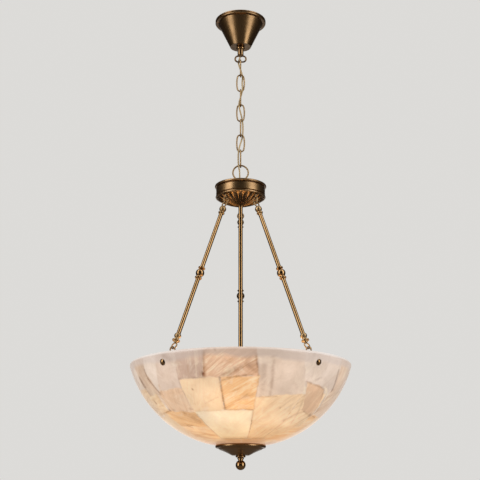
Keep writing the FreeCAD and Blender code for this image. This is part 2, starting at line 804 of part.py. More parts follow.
def bolts():
    """Slotted dome-headed bolts through the bowl, with a soft washer under each head and a nut inside."""
    head = s.bolt_head_radius
    crown = bulge_radius(2 * head, s.bolt_head_height)
    under = s.bowl_wall + s.pad_thickness
    tail = plate_front - s.bolt_nut_thickness - s.bolt_tail
    all_bolts, washers, nuts, pads = [], [], [], []
    for name, azimuth in ARMS.items():
        blank = turned("bolt_blank_" + name, [
            (0, tail), (s.bolt_radius, tail), (s.bolt_radius, under), (head, under),
            (0, under + s.bolt_head_height, crown)])
        slot = doc.addObject("Part::Box", "bolt_slot_" + name)
        bind(slot, "Length", 2 * head)
        bind(slot, "Width", s.bolt_slot_width)
        bind(slot, "Height", s.bolt_head_height)
        bind(slot, "Placement.Base.x", -head)
        bind(slot, "Placement.Base.y", -s.bolt_slot_width / 2)
        bind(slot, "Placement.Base.z", under + s.bolt_head_height - s.bolt_slot_depth)
        bolt = cut("bolt_" + name, blank, [slot])
        place_on_wall(bolt, azimuth, 0, turned_out=True)
        all_bolts.append(bolt)
        bore = s.bolt_radius + s.fit_clearance
        washer = turned("bolt_washer_" + name, [
            (bore, s.bowl_wall), (s.pad_radius, s.bowl_wall), (s.pad_radius, under), (bore, under)])
        place_on_wall(washer, azimuth, 0, turned_out=True)
        washers.append(washer)
        pad = turned("bracket_pad_" + name, [
            (bore, pad_back), (s.pad_radius, pad_back), (s.pad_radius, pad_front), (bore, pad_front)])
        place_on_wall(pad, azimuth, 0, turned_out=True)
        pads.append(pad)
        nut = hex_nut("bolt_nut_" + name, s.bolt_nut_width, s.bolt_nut_thickness, bore, 0)
        place_on_wall(nut, azimuth, plate_front - s.bolt_nut_thickness, turned_out=True)
        nuts.append(nut)
    return [group("bowl_bolts", all_bolts), group("bolt_washers", washers),
            group("bracket_pads", pads), group("bolt_nuts", nuts)]


# ---- arms -----------------------------------------------------------------------------------------------

def arm_line(azimuth):
    """The arm's upper and lower eye centres and its upward direction. The arm lies on the line from the
    hub's eye to the bracket's eye, each of its own eyes hooked through one of them."""
    radius, height = wall_point(s.bowl_depth - s.bolt_drop, s.bowl_wall)[:2]
    x, z = bracket_eye_offset()
    cos_lean, sin_lean = wall_point(s.bowl_depth - s.bolt_drop, s.bowl_wall)[2:]
    low_r = radius + x * cos_lean + z * sin_lean
    low_z = seat_z + height - x * sin_lean + z * cos_lean
    high = outward(azimuth) * s.hub_eye_radius.value + UP * (hub_z - s.hub_eye_drop).value
    low = outward(azimuth) * low_r.value + UP * low_z.value
    up = (high - low).normalize()
    hook = (2 * s.eye_radius - 2 * s.eye_wire_radius - s.eye_gap).value
    return high - up * hook, low + up * hook, up


def arm_piece(label, azimuth, outline, eye=None):
    """One turned piece of an arm, in the arm's own frame with its origin at the upper eye's centre and +Z
    up along the arm. The optional eye is the height of a ring's centre that belongs to the piece."""
    high, low, up = arm_line(azimuth)
    if eye is None:
        piece = turned(label, outline)
    else:
        ring = torus(label + "_ring", s.eye_radius, s.eye_wire_radius)
        ring.Placement.Rotation = FreeCAD.Rotation(FreeCAD.Vector(1, 0, 0), 90)
        ring.Placement.Base = UP * as_size(eye).value
        piece = fused(label, [turned(label + "_turning", outline), ring])
    set_frame(piece, high, sideways(azimuth), up)
    return piece


def collar_points(radius, height, middle, core):
    """Points down a rounded collar: from the core out and back, round its middle height."""
    bulge = height * s.collar_bulge_share
    rounding = bulge_radius(height, bulge)
    edge = radius - bulge
    return [(core, middle + height / 2), (edge, middle + height / 2),
            (edge, middle - height / 2, -rounding), (core, middle - height / 2)]


def ball_points(radius, middle, core):
    """Points down a ball on a core of the given radius, as two arcs."""
    half = root(radius * radius - core * core)
    return [(core, middle + half), (radius, middle, -radius), (core, middle - half, -radius)]


def arm(name, azimuth):
    high, low, up = arm_line(azimuth)
    length = (high - low).Length
    rod, wall = s.rod_radius, s.rod_wall
    spigot = rod - wall - s.fit_clearance
    waist = rod - wall
    # heights below the upper eye, along the arm
    ball = -(s.eye_radius + s.top_ball_radius)
    collar = ball - s.top_collar_offset
    eye_top = collar - s.top_collar_height / 2
    knop = -s.knop_offset
    knop_top = knop + s.knop_collar_offset + s.knop_collar_height / 2
    knop_foot = knop - s.knop_collar_offset - s.knop_collar_height / 2
    barrel = s.barrel_offset - length
    disc = s.foot_disc_offset - length
    barrel_top = barrel + s.barrel_half_height
    top_eye = arm_piece("arm_%s_top_eye" % name, azimuth,
              [(0, ball + s.top_ball_radius)] + ball_points(s.top_ball_radius, ball, waist)[1:]
              + collar_points(s.top_collar_radius, s.top_collar_height, collar, waist)
              + [(spigot, eye_top), (spigot, eye_top - s.spigot_length), (0, eye_top - s.spigot_length)],
              eye=0)
    upper_rod = arm_piece("arm_%s_upper_rod" % name, azimuth,
              [(rod - wall, eye_top), (rod, eye_top), (rod, knop_top), (rod - wall, knop_top)])
    knop_piece = arm_piece("arm_%s_knop" % name, azimuth,
              [(0, knop_top + s.spigot_length), (spigot, knop_top + s.spigot_length)]
              + collar_points(s.knop_collar_radius, s.knop_collar_height, knop + s.knop_collar_offset, spigot)
              + ball_points(s.knop_ball_radius, knop, rod)
              + [(rod, knop - s.knop_collar_offset + s.knop_collar_height / 2)]
              + collar_points(s.knop_collar_radius, s.knop_collar_height, knop - s.knop_collar_offset,
                              spigot)[1:]
              + [(spigot, knop_foot - s.spigot_length), (0, knop_foot - s.spigot_length)])
    lower_rod = arm_piece("arm_%s_lower_rod" % name, azimuth,
              [(rod - wall, knop_foot), (rod, knop_foot), (rod, barrel_top), (rod - wall, barrel_top)])
    swell = bulge_radius(2 * s.barrel_half_height, s.barrel_radius - rod)
    bottom_eye = arm_piece("arm_%s_bottom_eye" % name, azimuth,
              [(0, barrel_top + s.spigot_length), (spigot, barrel_top + s.spigot_length),
               (spigot, barrel_top), (rod, barrel_top), (rod, barrel - s.barrel_half_height, -swell)]
              + collar_points(s.foot_disc_radius, s.foot_disc_height, disc, rod)
              + [(s.eye_root_radius, s.eye_radius - length), (0, s.eye_radius - length)],
              eye=-length)
    return [top_eye, upper_rod, knop_piece, lower_rod, bottom_eye]


# ---- stem and lamps -------------------------------------------------------------------------------------

def stem():
    top = hub_z - s.neck_thread_length - s.stem_thread_gap
    length = top - cluster_z
    return turned("stem", [
        (s.stem_bore_radius, 0), (s.stem_radius, 0), (s.stem_radius, -length), (s.stem_bore_radius, -length)],
        top)


def lamp_frame(number):
    """Direction of a lampholder's axis and the level direction beside it."""
    azimuth = FULL_TURN / LAMP_COUNT * number
    tilt = math.radians(s.lamp_tilt.value)
    return outward(azimuth) * math.cos(tilt) + UP * math.sin(tilt), sideways(azimuth)


def cluster_body():
    """Round body that carries the lampholders, on the stem's foot."""
    radius, cap = s.cluster_radius, s.cluster_cap_radius
    half = s.cluster_height / 2
    blank = turned("cluster_blank", [
        (0, -half - s.cluster_cap_height), (cap, -half - s.cluster_cap_height), (cap, -half),
        (radius, -half), (radius, half), (cap, half), (cap, half + s.cluster_cap_height),
        (0, half + s.cluster_cap_height)], cluster_z)
    reach = s.cluster_height + 2 * s.cluster_cap_height
    tools = [cylinder("cluster_bore", s.stem_bore_radius, 2 * reach, cluster_z - reach),
             cylinder("cluster_stem_seat", s.stem_radius + s.fit_clearance, reach, cluster_z),
             cylinder("cluster_pipe_seat", s.pipe_radius + s.fit_clearance, reach,
                      cluster_z - half - s.cluster_cap_height - reach + s.cluster_cap_height)]
    for number in range(LAMP_COUNT):
        axis, side = lamp_frame(number)
        flat = cylinder("socket_seat_%d" % (number + 1), s.socket_neck_radius + s.fit_clearance,
                        s.socket_length)
        set_frame(flat, UP * cluster_z.value + axis * s.socket_start.value, side, axis)
        tools.append(flat)
    return cut("cluster_body", blank, tools)


def lampholder(number):
    """Porcelain holder on a short neck, open at the mouth."""
    axis, side = lamp_frame(number - 1)
    neck, foot = s.socket_neck_radius, s.socket_neck_length
    mouth = s.bulb_cap_radius + s.fit_clearance
    floor = foot + s.socket_length - s.socket_mouth_depth
    top = foot + s.socket_length
    holder = turned("lampholder_%d" % number, [
        (0, 0), (neck, 0), (neck, foot), (s.socket_radius - s.socket_shoulder, foot),
        (s.socket_radius, foot + s.socket_shoulder), (s.socket_radius, top), (mouth, top), (mouth, floor),
        (0, floor)])
    set_frame(holder, UP * cluster_z.value + axis * s.socket_start.value, side, axis)
    return holder


def bulb(number):
    """Glass bulb: a round thin-walled globe that runs down through a hollow curve to its screw cap."""
    axis, side = lamp_frame(number - 1)
    globe, cap, wall = s.bulb_globe_radius, s.bulb_cap_radius, s.bulb_wall
    centre = s.bulb_length - globe
    inside = globe - wall
    lean = s.lamp_tilt + s.lamp_tilt
    joint_r, joint_z = globe * cosine(lean), centre - globe * sine(lean)
    rise, run = joint_z, joint_r - cap
    hollow = (run * run + rise * rise) / (rise * cosine(lean) + run * sine(lean))
    glass = turned("bulb_glass_%d" % number, [
        (cap, 0), (joint_r, joint_z, -hollow), (globe, centre, globe),
        (0, centre + globe, globe), (0, centre + inside), (inside, centre, -inside),
        (inside * cosine(lean), centre - inside * sine(lean), -inside), (cap - wall, 0, hollow + wall)])
    mouth = s.socket_start + s.socket_neck_length + s.socket_length
    set_frame(glass, UP * cluster_z.value + axis * mouth.value, side, axis)
    screw = turned("bulb_cap_%d" % number, [
        (0, 0), (cap, 0), (cap, s.bulb_contact_taper - s.bulb_cap_length),
        (s.bulb_contact_radius, -s.bulb_cap_length),
        (0, -s.bulb_cap_length)])
    set_frame(screw, UP * cluster_z.value + axis * mouth.value, side, axis)
    return glass, screw


# ---- bottom hardware ------------------------------------------------------------------------------------

def bottom_hardware():
    bore = s.pipe_radius + s.fit_clearance
    floor_z = seat_z + s.bowl_wall
    pipe_top = cluster_z - s.cluster_height / 2
    pipe_foot = seat_z - s.cap_tip_drop - s.finial_hole_depth
    pipe = turned("bottom_pipe", [
        (0, 0), (s.pipe_radius, 0), (s.pipe_radius, pipe_foot - pipe_top), (0, pipe_foot - pipe_top)],
        pipe_top)
    washer = turned("floor_washer", [
        (bore, 0), (s.washer_radius, 0), (s.washer_radius, s.washer_thickness), (bore, s.washer_thickness)],
        floor_z)
    nut = hex_nut("floor_nut", s.nut_width, s.nut_thickness, bore, floor_z + s.washer_thickness)
    inner, outer = s.felt_inner_radius, s.felt_outer_radius
    felt = turned("felt_ring", [
        (inner, under_bowl(inner, s.felt_thickness)),
        (outer, under_bowl(outer, s.felt_thickness), s.bowl_lower_radius + s.felt_thickness),
        (outer, under_bowl(outer, 0)), (inner, under_bowl(inner, 0), -s.bowl_lower_radius)], seat_z)
    return [pipe, washer, nut, felt]


def under_bowl(radius, distance):
    """Height above the seat of a surface that follows the bowl's lower arc, the given distance off it."""
    reach = s.bowl_lower_radius + distance
    across = radius - s.bowl_seat_radius
    return s.bowl_lower_radius - root(reach * reach - across * across)


def bottom_cap():
    """Hollow brass cap: a beaded rim that bears on the felt, a step, and a cone down to the finial."""
    bore, wall = s.pipe_radius + s.fit_clearance, s.cap_wall
    bulge = s.cap_bead_height * s.edge_bulge_share
    edge, inner = s.cap_bead_radius - bulge, s.felt_inner_radius
    rim_top = under_bowl(edge, s.felt_thickness)
    return turned("bottom_cap", [
        (bore, -s.cap_tip_drop), (s.cap_tip_radius, -s.cap_tip_drop), (s.cap_cone_radius, -s.cap_cone_drop),
        (s.cap_step_radius, -s.cap_step_drop), (edge, rim_top - s.cap_bead_height),
        (edge, rim_top, bulge_radius(s.cap_bead_height, bulge)),
        (inner, under_bowl(inner, s.felt_thickness), -(s.bowl_lower_radius + s.felt_thickness)),
        (s.cap_step_radius, wall - s.cap_step_drop), (s.cap_cone_radius - wall, wall - s.cap_cone_drop),
        (s.cap_tip_radius - wall, wall - s.cap_tip_drop), (bore, wall - s.cap_tip_drop)], seat_z)


def finial():
    """Ball finial under a disc and a bead, each with a rounded edge, threaded onto the bottom pipe."""
    hole, neck, ball = s.pipe_radius + s.fit_clearance, s.finial_neck_radius, s.finial_ball_radius
    disc, bead = s.finial_disc_height, s.finial_bead_height
    disc_bulge, bead_bulge = disc * s.edge_bulge_share, bead * s.edge_bulge_share
    disc_edge, bead_edge = s.finial_disc_radius - disc_bulge, s.finial_bead_radius - bead_bulge
    centre = -s.finial_ball_drop
    shoulder = centre + root(ball * ball - neck * neck)
    return turned("finial", [
        (hole, 0), (disc_edge, 0), (disc_edge, -disc, -bulge_radius(disc, disc_bulge)),
        (bead_edge, -disc), (bead_edge, -disc - bead, -bulge_radius(bead, bead_bulge)),
        (neck, -disc - bead), (neck, shoulder), (ball, centre, -ball), (0, centre - ball, -ball),
        (0, -s.finial_hole_depth), (hole, -s.finial_hole_depth)], seat_z - s.cap_tip_drop)


# ---- flex -----------------------------------------------------------------------------------------------

# The flex hangs from the ceiling box through the pipe and the loop's neck, is laced from one side of the
# chain to the other, and goes down through the hub's boss and the stem to the lamps. The points are
# (x, y, height), chosen to pass each crossing of two links in the corner between their wires.
FLEX_POINTS = [
    (0.0, 0.0, -4.0),
    (0.0, 0.0, -99.0),
    (-5.4, 5.3, -108.0),
    (-4.9, 4.8, -117.0),
    (0.3, 3.0, -132.0),
    (5.6, 5.4, -149.4),
    (3.4, 0.0, -169.3),
    (5.4, -5.4, -189.1),
    (0.0, -3.0, -208.9),
    (-5.6, -5.6, -228.7),
    (5.9, 5.9, -268.3),
    (5.9, 5.9, -307.9),
    (-5.9, -5.9, -347.5),
    (-5.7, -5.7, -388.0),
    (0.0, 0.0, -407.0),
    (0.0, 0.0, -960.0),
]
BEND_SHARE = 0.45


def flex_path():
    """Straight runs between the points, joined by tangent arcs as large as the shorter run allows."""
    points = [FreeCAD.Vector(*p) for p in FLEX_POINTS]
    edges, at, bends = [], points[0], []
    for before, here, after in zip(points, points[1:], points[2:]):
        incoming, outgoing = (here - before).normalize(), (after - here).normalize()
        turn = incoming.getAngle(outgoing)
        setback = BEND_SHARE * min((here - before).Length, (after - here).Length)
        bends.append(setback / math.tan(turn / 2))
        start, end = here - incoming * setback, here + outgoing * setback
        inward = (outgoing - incoming).normalize()
        depth = bends[-1] * (1 / math.cos(turn / 2) - 1)
        edges.append(Part.LineSegment(at, start).toShape())
        edges.append(Part.Arc(start, here + inward * depth, end).toShape())
        at = end
    edges.append(Part.LineSegment(at, points[-1]).toShape())
    print("flex bends:", " ".join("%.1f" % bend for bend in bends))
    return Part.Wire(edges)


def flex():
    path = doc.addObject("Part::Feature", "flex_path")
    path.Shape = flex_path()
    section = doc.addObject("Part::Circle", "flex_section")
    bind(section, "Radius", s.flex_radius)
    section.Placement.Base = FreeCAD.Vector(*FLEX_POINTS[0])
    sweep = doc.addObject("Part::Sweep", "flex")
    sweep.Label = "flex"
    sweep.Sections = [section]
    sweep.Spine = (path, ["Edge%d" % (i + 1) for i in range(len(path.Shape.Edges))])
    sweep.Solid = True
    sweep.Frenet = False
    return sweep


# ---- the whole pendant ----------------------------------------------------------------------------------

def build():
    lock_nut_z = -(s.crossbar_thickness + s.nut_thickness)
    subparts = [crossbar(), ground_screw(), ceiling_pipe(), canopy(), collar_nut(), canopy_loop(),
                hex_nut("lock_nut", s.nut_width, s.nut_thickness, s.pipe_radius + s.fit_clearance, lock_nut_z)]
    subparts += [chain_link(number) for number in range(1, LINK_COUNT + 1)]
    subparts += [flex(), hub_loop(), hub_cover(), fluted_dome(), dome_nut(), hub_coupling(), hub_eyes()]
    for name, azimuth in ARMS.items():
        subparts += arm(name, azimuth)
        subparts.append(bracket(name, azimuth))
    subparts += bolts()
    subparts += [bowl(), stem(), cluster_body()]
    for number in range(1, LAMP_COUNT + 1):
        subparts.append(lampholder(number))
    glasses, caps = zip(*[bulb(number) for number in range(1, LAMP_COUNT + 1)])
    subparts += glasses
    subparts.append(group("bulb_caps", list(caps)))
    subparts += bottom_hardware()
    subparts += [bottom_cap(), finial()]
    return subparts


def check(subparts):
    """Stop on anything that failed to build, before a file is written."""
    faults = [thing.Name for thing in doc.Objects if {"Invalid", "Error"} & set(thing.State)]
    for piece in subparts:
        if piece.Shape.isNull() or not piece.Shape.isValid() or not piece.Shape.Solids:
            faults.append(piece.Label)
    if faults:
        raise RuntimeError("not built: " + ", ".join(faults))


pendant = build()
doc.recompute()
check(pendant)
os.makedirs("parts", exist_ok=True)
for piece in pendant:
    piece.Shape.exportStep("parts/%s.step" % piece.Label)
    print("%-24s %2d solids %9.0f mm3" % (piece.Label, len(piece.Shape.Solids), piece.Shape.Volume))
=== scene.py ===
import json
import math
from collections import namedtuple

import bpy
import numpy as np
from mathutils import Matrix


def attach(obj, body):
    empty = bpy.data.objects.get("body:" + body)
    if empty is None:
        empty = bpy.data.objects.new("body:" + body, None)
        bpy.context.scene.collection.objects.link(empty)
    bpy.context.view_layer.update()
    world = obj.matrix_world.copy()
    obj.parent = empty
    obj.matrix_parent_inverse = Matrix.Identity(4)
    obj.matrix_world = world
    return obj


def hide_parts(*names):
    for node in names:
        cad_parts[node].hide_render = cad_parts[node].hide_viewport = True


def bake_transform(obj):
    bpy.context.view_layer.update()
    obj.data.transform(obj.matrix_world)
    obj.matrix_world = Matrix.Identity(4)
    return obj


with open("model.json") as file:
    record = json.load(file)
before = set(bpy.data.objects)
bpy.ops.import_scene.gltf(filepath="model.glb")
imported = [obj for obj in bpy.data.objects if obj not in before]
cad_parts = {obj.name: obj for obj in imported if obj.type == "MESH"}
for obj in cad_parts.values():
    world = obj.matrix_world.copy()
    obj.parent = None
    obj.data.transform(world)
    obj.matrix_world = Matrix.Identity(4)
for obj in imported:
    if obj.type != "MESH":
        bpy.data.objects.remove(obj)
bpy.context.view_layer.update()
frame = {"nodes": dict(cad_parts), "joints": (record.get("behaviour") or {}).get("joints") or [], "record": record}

NODES = frame["nodes"]
MM = 0.001


# ---- meshes from arrays ----------------------------------------------------------

TURN_STEPS = 240


def grid_faces(rows, columns, wrap=False):
    """Quads of a grid numbered row by row: each joins a point, the next in its row and the two after it in
    the next row. A wrapped grid's last column joins its first."""
    across = np.arange(columns if wrap else columns - 1)
    down = np.arange(rows - 1)
    a = (down[:, None] * columns + across).ravel()
    b = (down[:, None] * columns + (across + 1) % columns).ravel()
    return np.stack([a, b, b + columns, a + columns], axis=1)


def mesh_piece(name, points, faces, material):
    """A smooth mesh object at the origin, from an array of points in metres and one of quads."""
    mesh = bpy.data.meshes.new(name)
    mesh.from_pydata(points.reshape(-1, 3).tolist(), [], faces.tolist())
    mesh.polygons.foreach_set("use_smooth", np.ones(len(mesh.polygons), bool))
    mesh.materials.append(material)
    mesh.update()
    piece = bpy.data.objects.new(name, mesh)
    bpy.context.scene.collection.objects.link(piece)
    return piece


def full_turn(steps):
    """Angles of a closed ring, in radians: 2 pi k / steps."""
    return np.linspace(0, 2 * np.pi, steps, endpoint=False)


def round_axis(radius, angle, height):
    """Places round the pendant's axis in metres, from millimetres and an angle that is 0 at the front:
    x = radius sin(angle), y = -radius cos(angle), z = height."""
    x, y = radius * np.sin(angle), -radius * np.cos(angle)
    return MM * np.stack(np.broadcast_arrays(x, y, height), axis=-1)


def turned_piece(name, profile, material):
    """A profile (radius, height), in millimetres, carried round the axis."""
    points = round_axis(profile[:, :1], full_turn(TURN_STEPS), profile[:, 1:])
    return mesh_piece(name, points, grid_faces(len(profile), TURN_STEPS, wrap=True), material)


def arc_points(centre, radius, start, end, count):
    """Points on a circle from one angle to another, in degrees: centre + radius (cos, sin)."""
    angle = np.radians(np.linspace(start, end, count))
    return np.stack([centre[0] + radius * np.cos(angle), centre[1] + radius * np.sin(angle)], axis=1)


def tube_points(path, radius_at, steps):
    """A tube along a path, a row of points for each place. Its ring lies across the path: two directions
    square to the tangent are carried along by taking away their part along the next tangent."""
    tangent = np.gradient(path, axis=0)
    tangent /= np.linalg.norm(tangent, axis=1)[:, None]
    side = np.zeros_like(path)
    side[0] = np.cross(tangent[0], [0.0, 1.0, 0.0])
    for i in range(1, len(path)):
        side[i] = side[i - 1] - tangent[i] * (side[i - 1] @ tangent[i])
        side[i] /= np.linalg.norm(side[i])
    other = np.cross(tangent, side)
    angle = full_turn(steps)
    along = np.r_[0, np.cumsum(np.linalg.norm(np.diff(path, axis=0), axis=1))]
    radius = radius_at(angle[None, :], along[:, None])[..., None]
    ring = side[:, None, :] * np.cos(angle)[None, :, None] + other[:, None, :] * np.sin(angle)[None, :, None]
    return path[:, None, :] + radius * ring


# ---- shader building -------------------------------------------------------------

def add_node(tree, kind, inputs=None, **settings):
    """A node with its settings, and its inputs given as values or as the sockets that feed them."""
    made = tree.nodes.new(kind)
    for key, value in settings.items():
        setattr(made, key, value)
    for key, value in (inputs or {}).items():
        if isinstance(value, bpy.types.NodeSocket):
            tree.links.new(value, made.inputs[key])
        else:
            made.inputs[key].default_value = value
    return made


def feed(tree, inputs, **values):
    """Link sockets to a node's inputs, each named with _ for the spaces in its name."""
    for key, value in values.items():
        tree.links.new(value, inputs[key.replace("_", " ")])


def ramp(tree, factor, stops):
    """A colour ramp through (position, colour) stops."""
    made = add_node(tree, "ShaderNodeValToRGB", {"Fac": factor})
    elements = made.color_ramp.elements
    elements[0].position, elements[0].color = stops[0][0], (*stops[0][1], 1)
    elements[1].position, elements[1].color = stops[-1][0], (*stops[-1][1], 1)
    for position, colour in stops[1:-1]:
        elements.new(position).color = (*colour, 1)
    return made.outputs["Color"]


def mixed(tree, factor, a, b, blend="MIX"):
    """Two colours mixed by a factor."""
    made = add_node(tree, "ShaderNodeMix", data_type="RGBA", blend_type=blend)
    for index, value in ((0, factor), (6, a), (7, b)):
        if isinstance(value, bpy.types.NodeSocket):
            tree.links.new(value, made.inputs[index])
        elif index == 0:
            made.inputs[0].default_value = value
        else:
            made.inputs[index].default_value = (*value, 1)
    return made.outputs[2]


def tinted(tree, colour, tint):
    """A colour multiplied by another."""
    return mixed(tree, 1.0, colour, tint, blend="MULTIPLY")


def maths(tree, operation, a, b=0.0, clamp=False):
    """One step of arithmetic on two values."""
    return add_node(tree, "ShaderNodeMath", {0: a, 1: b}, operation=operation, use_clamp=clamp).outputs[0]


def plus(tree, a, b):
    """Two values added."""
    return maths(tree, "ADD", a, b)


def times(tree, a, b, clamp=False):
    """Two values multiplied."""
    return maths(tree, "MULTIPLY", a, b, clamp)


def spread(tree, value, low, high, to_low=0.0, to_high=1.0):
    """A value carried from one range to another and held inside it."""
    return add_node(tree, "ShaderNodeMapRange", {"Value": value, "From Min": low, "From Max": high,
                                                 "To Min": to_low, "To Max": to_high}).outputs["Result"]


def noise(tree, place, scale, detail=2.0, roughness=0.5, distortion=0.0):
    """Cloudy noise over a place, about 0.5 on average."""
    made = add_node(tree, "ShaderNodeTexNoise", {"Vector": place, "Scale": scale, "Detail": detail,
                                                 "Roughness": roughness, "Distortion": distortion})
    return made.outputs["Fac"]


def add_bump(tree, shader, height, strength, distance):
    """Relief from a height, in the shader's normal."""
    bump = add_node(tree, "ShaderNodeBump", {"Height": height, "Strength": strength, "Distance": distance})
    feed(tree, shader.inputs, Normal=bump.outputs["Normal"])


def object_place(tree):
    """The place on the piece, in metres."""
    return add_node(tree, "ShaderNodeTexCoord").outputs["Object"]


def new_group(name, inputs, outputs):
    """An empty node group with named inputs (name, kind, value) and outputs (name, kind)."""
    group = bpy.data.node_groups.new(name, "ShaderNodeTree")
    for title, kind, value in inputs:
        socket = group.interface.new_socket(title, in_out="INPUT", socket_type="NodeSocket" + kind)
        if value is not None:
            socket.default_value = value
    for title, kind in outputs:
        group.interface.new_socket(title, in_out="OUTPUT", socket_type="NodeSocket" + kind)
    return group, group.nodes.new("NodeGroupInput").outputs, group.nodes.new("NodeGroupOutput").inputs


def use_group(tree, group, **inputs):
    """A group placed in a tree, with its inputs named as in feed: its outputs."""
    named = {key.replace("_", " "): value for key, value in inputs.items()}
    return add_node(tree, "ShaderNodeGroup", named, node_tree=group).outputs


def new_material(name, **sockets):
    """A material with one Principled shader, its plain values set on the shader's own sockets."""
    material = bpy.data.materials.new(name)
    material.use_nodes = True
    tree = material.node_tree
    shader = tree.nodes["Principled BSDF"]
    for key, value in sockets.items():
        shader.inputs[key.replace("_", " ")].default_value = value
    return material, tree, shader


# ---- effects that materials share ------------------------------------------------

def make_tarnish():
    """Cloudy tarnish, fine pits and the rings that turning and brushing leave round the pendant's axis,
    which are noise over the distance from the axis, sqrt(x^2 + y^2), and the height."""
    inputs = [("Place", "Vector", None), ("Cloud Scale", "Float", 30.0), ("Ring Scale", "Float", 900.0)]
    outputs = [("Cloud", "Float"), ("Rings", "Float"), ("Pits", "Float")]
    group, given, wanted = new_group("tarnish", inputs, outputs)
    clouds = noise(group, given["Place"], given["Cloud Scale"], 5.0, 0.62, 0.4)
    x, y, z = add_node(group, "ShaderNodeSeparateXYZ", {"Vector": given["Place"]}).outputs
    reach = maths(group, "SQRT", plus(group, times(group, x, x), times(group, y, y)))
    flat = add_node(group, "ShaderNodeCombineXYZ", {"X": reach, "Z": z}).outputs[0]
    rings = noise(group, flat, given["Ring Scale"], 3.0, 0.7)
    pits = noise(group, given["Place"], 1400.0)
    feed(group, wanted, Cloud=spread(group, clouds, 0.36, 0.66), Rings=rings,
         Pits=spread(group, pits, 0.58, 0.74))
    return group


def make_bulb_light(centres, full_distance):
    """How strongly the bulbs light a place: the sum of one over the distance squared to each bulb, times
    the square of the distance at which one bulb alone gives one."""
    group, given, wanted = new_group("bulb light", [("Place", "Vector", None)], [("Light", "Float")])
    total = 0.0
    for centre in centres:
        away = add_node(group, "ShaderNodeVectorMath", {0: given["Place"], 1: centre},
                        operation="DISTANCE").outputs["Value"]
        total = plus(group, total, maths(group, "DIVIDE", full_distance ** 2, times(group, away, away)))
    feed(group, wanted, Light=total)
    return group


def make_fine_grain():
    """Cloud and speckle for the small plain pieces."""
    group, given, wanted = new_group("fine grain", [("Place", "Vector", None), ("Scale", "Float", 400.0)],
                                     [("Cloud", "Float"), ("Speckle", "Float")])
    feed(group, wanted, Cloud=noise(group, given["Place"], 55.0, 3.0),
         Speckle=noise(group, given["Place"], given["Scale"], 4.0, 0.7))
    return group


TARNISH = make_tarnish()
FINE_GRAIN = make_fine_grain()
PIT_BROWN = (0.05, 0.03, 0.012)


def brass(name, bright, dull, roughness=(0.24, 0.34), brushed=1.0):
    """Aged brass under clear lacquer: two near browns in soft clouds, brushed round the pendant's axis."""
    material, tree, shader = new_material(name, Metallic=1.0, Coat_Weight=0.35, Coat_Roughness=0.18)
    wear = use_group(tree, TARNISH, Place=object_place(tree), Cloud_Scale=14.0, Ring_Scale=1600.0)
    colour = mixed(tree, wear["Cloud"], bright, dull)
    colour = mixed(tree, spread(tree, wear["Rings"], 0.35, 0.7, 0.0, 0.15 * brushed), colour, dull)
    colour = mixed(tree, times(tree, wear["Pits"], 0.15), colour, PIT_BROWN)
    rough = plus(tree, spread(tree, wear["Cloud"], 0, 1, *roughness),
                 times(tree, wear["Rings"], 0.06 * brushed))
    feed(tree, shader.inputs, Base_Color=colour, Roughness=rough)
    add_bump(tree, shader, wear["Rings"], 0.012 * brushed, 0.0001)
    return material


def grained(name, scale, **sockets):
    """A new material with the fine grain in its tree: the material, tree, shader and the grain's outputs."""
    material, tree, shader = new_material(name, **sockets)
    return material, tree, shader, use_group(tree, FINE_GRAIN, Place=object_place(tree), Scale=scale)


def plain_finish(name, light, dark, roughness, grain=400.0, relief=0.15, **sockets):
    """A small plain piece's finish: two near colours in clouds, and a fine speckle in the surface."""
    material, tree, shader, grains = grained(name, grain, **sockets)
    feed(tree, shader.inputs, Base_Color=mixed(tree, spread(tree, grains["Cloud"], 0.3, 0.7), light, dark),
         Roughness=spread(tree, grains["Speckle"], 0.3, 0.7, *roughness))
    add_bump(tree, shader, grains["Speckle"], relief, 0.0002)
    return material


# ---- the bowl's form -------------------------------------------------------------

# The outside is two arcs that run smoothly into each other at TURN: a lower one, from the flat seat at the
# foot, and an upper one, to the edge just under the rim. Millimetres and degrees, heights from the rim.
RIM_Z = -873.0
DEPTH, WALL, SEAT_RADIUS, HOLE_RADIUS = 181.0, 11.0, 25.0, 6.5
LOWER_RADIUS, TURN_ANGLE = 218.7, 66.5
EDGE_RADIUS, EDGE_DEPTH = 253.4, 4.5
TURN_COS, TURN_SIN = math.cos(math.radians(TURN_ANGLE)), math.sin(math.radians(TURN_ANGLE))
LOWER_CENTRE = (SEAT_RADIUS, LOWER_RADIUS - DEPTH)
TURN = (LOWER_CENTRE[0] + LOWER_RADIUS * TURN_COS, LOWER_CENTRE[1] - LOWER_RADIUS * TURN_SIN)
RISE, RUN = -EDGE_DEPTH - TURN[1], EDGE_RADIUS - TURN[0]
UPPER_RADIUS = (RUN ** 2 + RISE ** 2) / (2 * (RISE * TURN_SIN - RUN * TURN_COS))
UPPER_CENTRE = (TURN[0] - UPPER_RADIUS * TURN_COS, TURN[1] + UPPER_RADIUS * TURN_SIN)
EDGE_ANGLE = math.degrees(math.asin((-EDGE_DEPTH - UPPER_CENTRE[1]) / UPPER_RADIUS))
OUTWARD = np.array([math.cos(math.radians(EDGE_ANGLE)), math.sin(math.radians(EDGE_ANGLE))])
RIM_MIDDLE = np.array(UPPER_CENTRE) + (UPPER_RADIUS - WALL / 2) * OUTWARD

INSET = 0.1         # how far the slabs' surface stands inside the solid's
EDGE_ROW = 7        # steps down the rim's outer quarter, to the edge
PAST_LIP = -15.0    # the way down the wall of what is given as above the edge


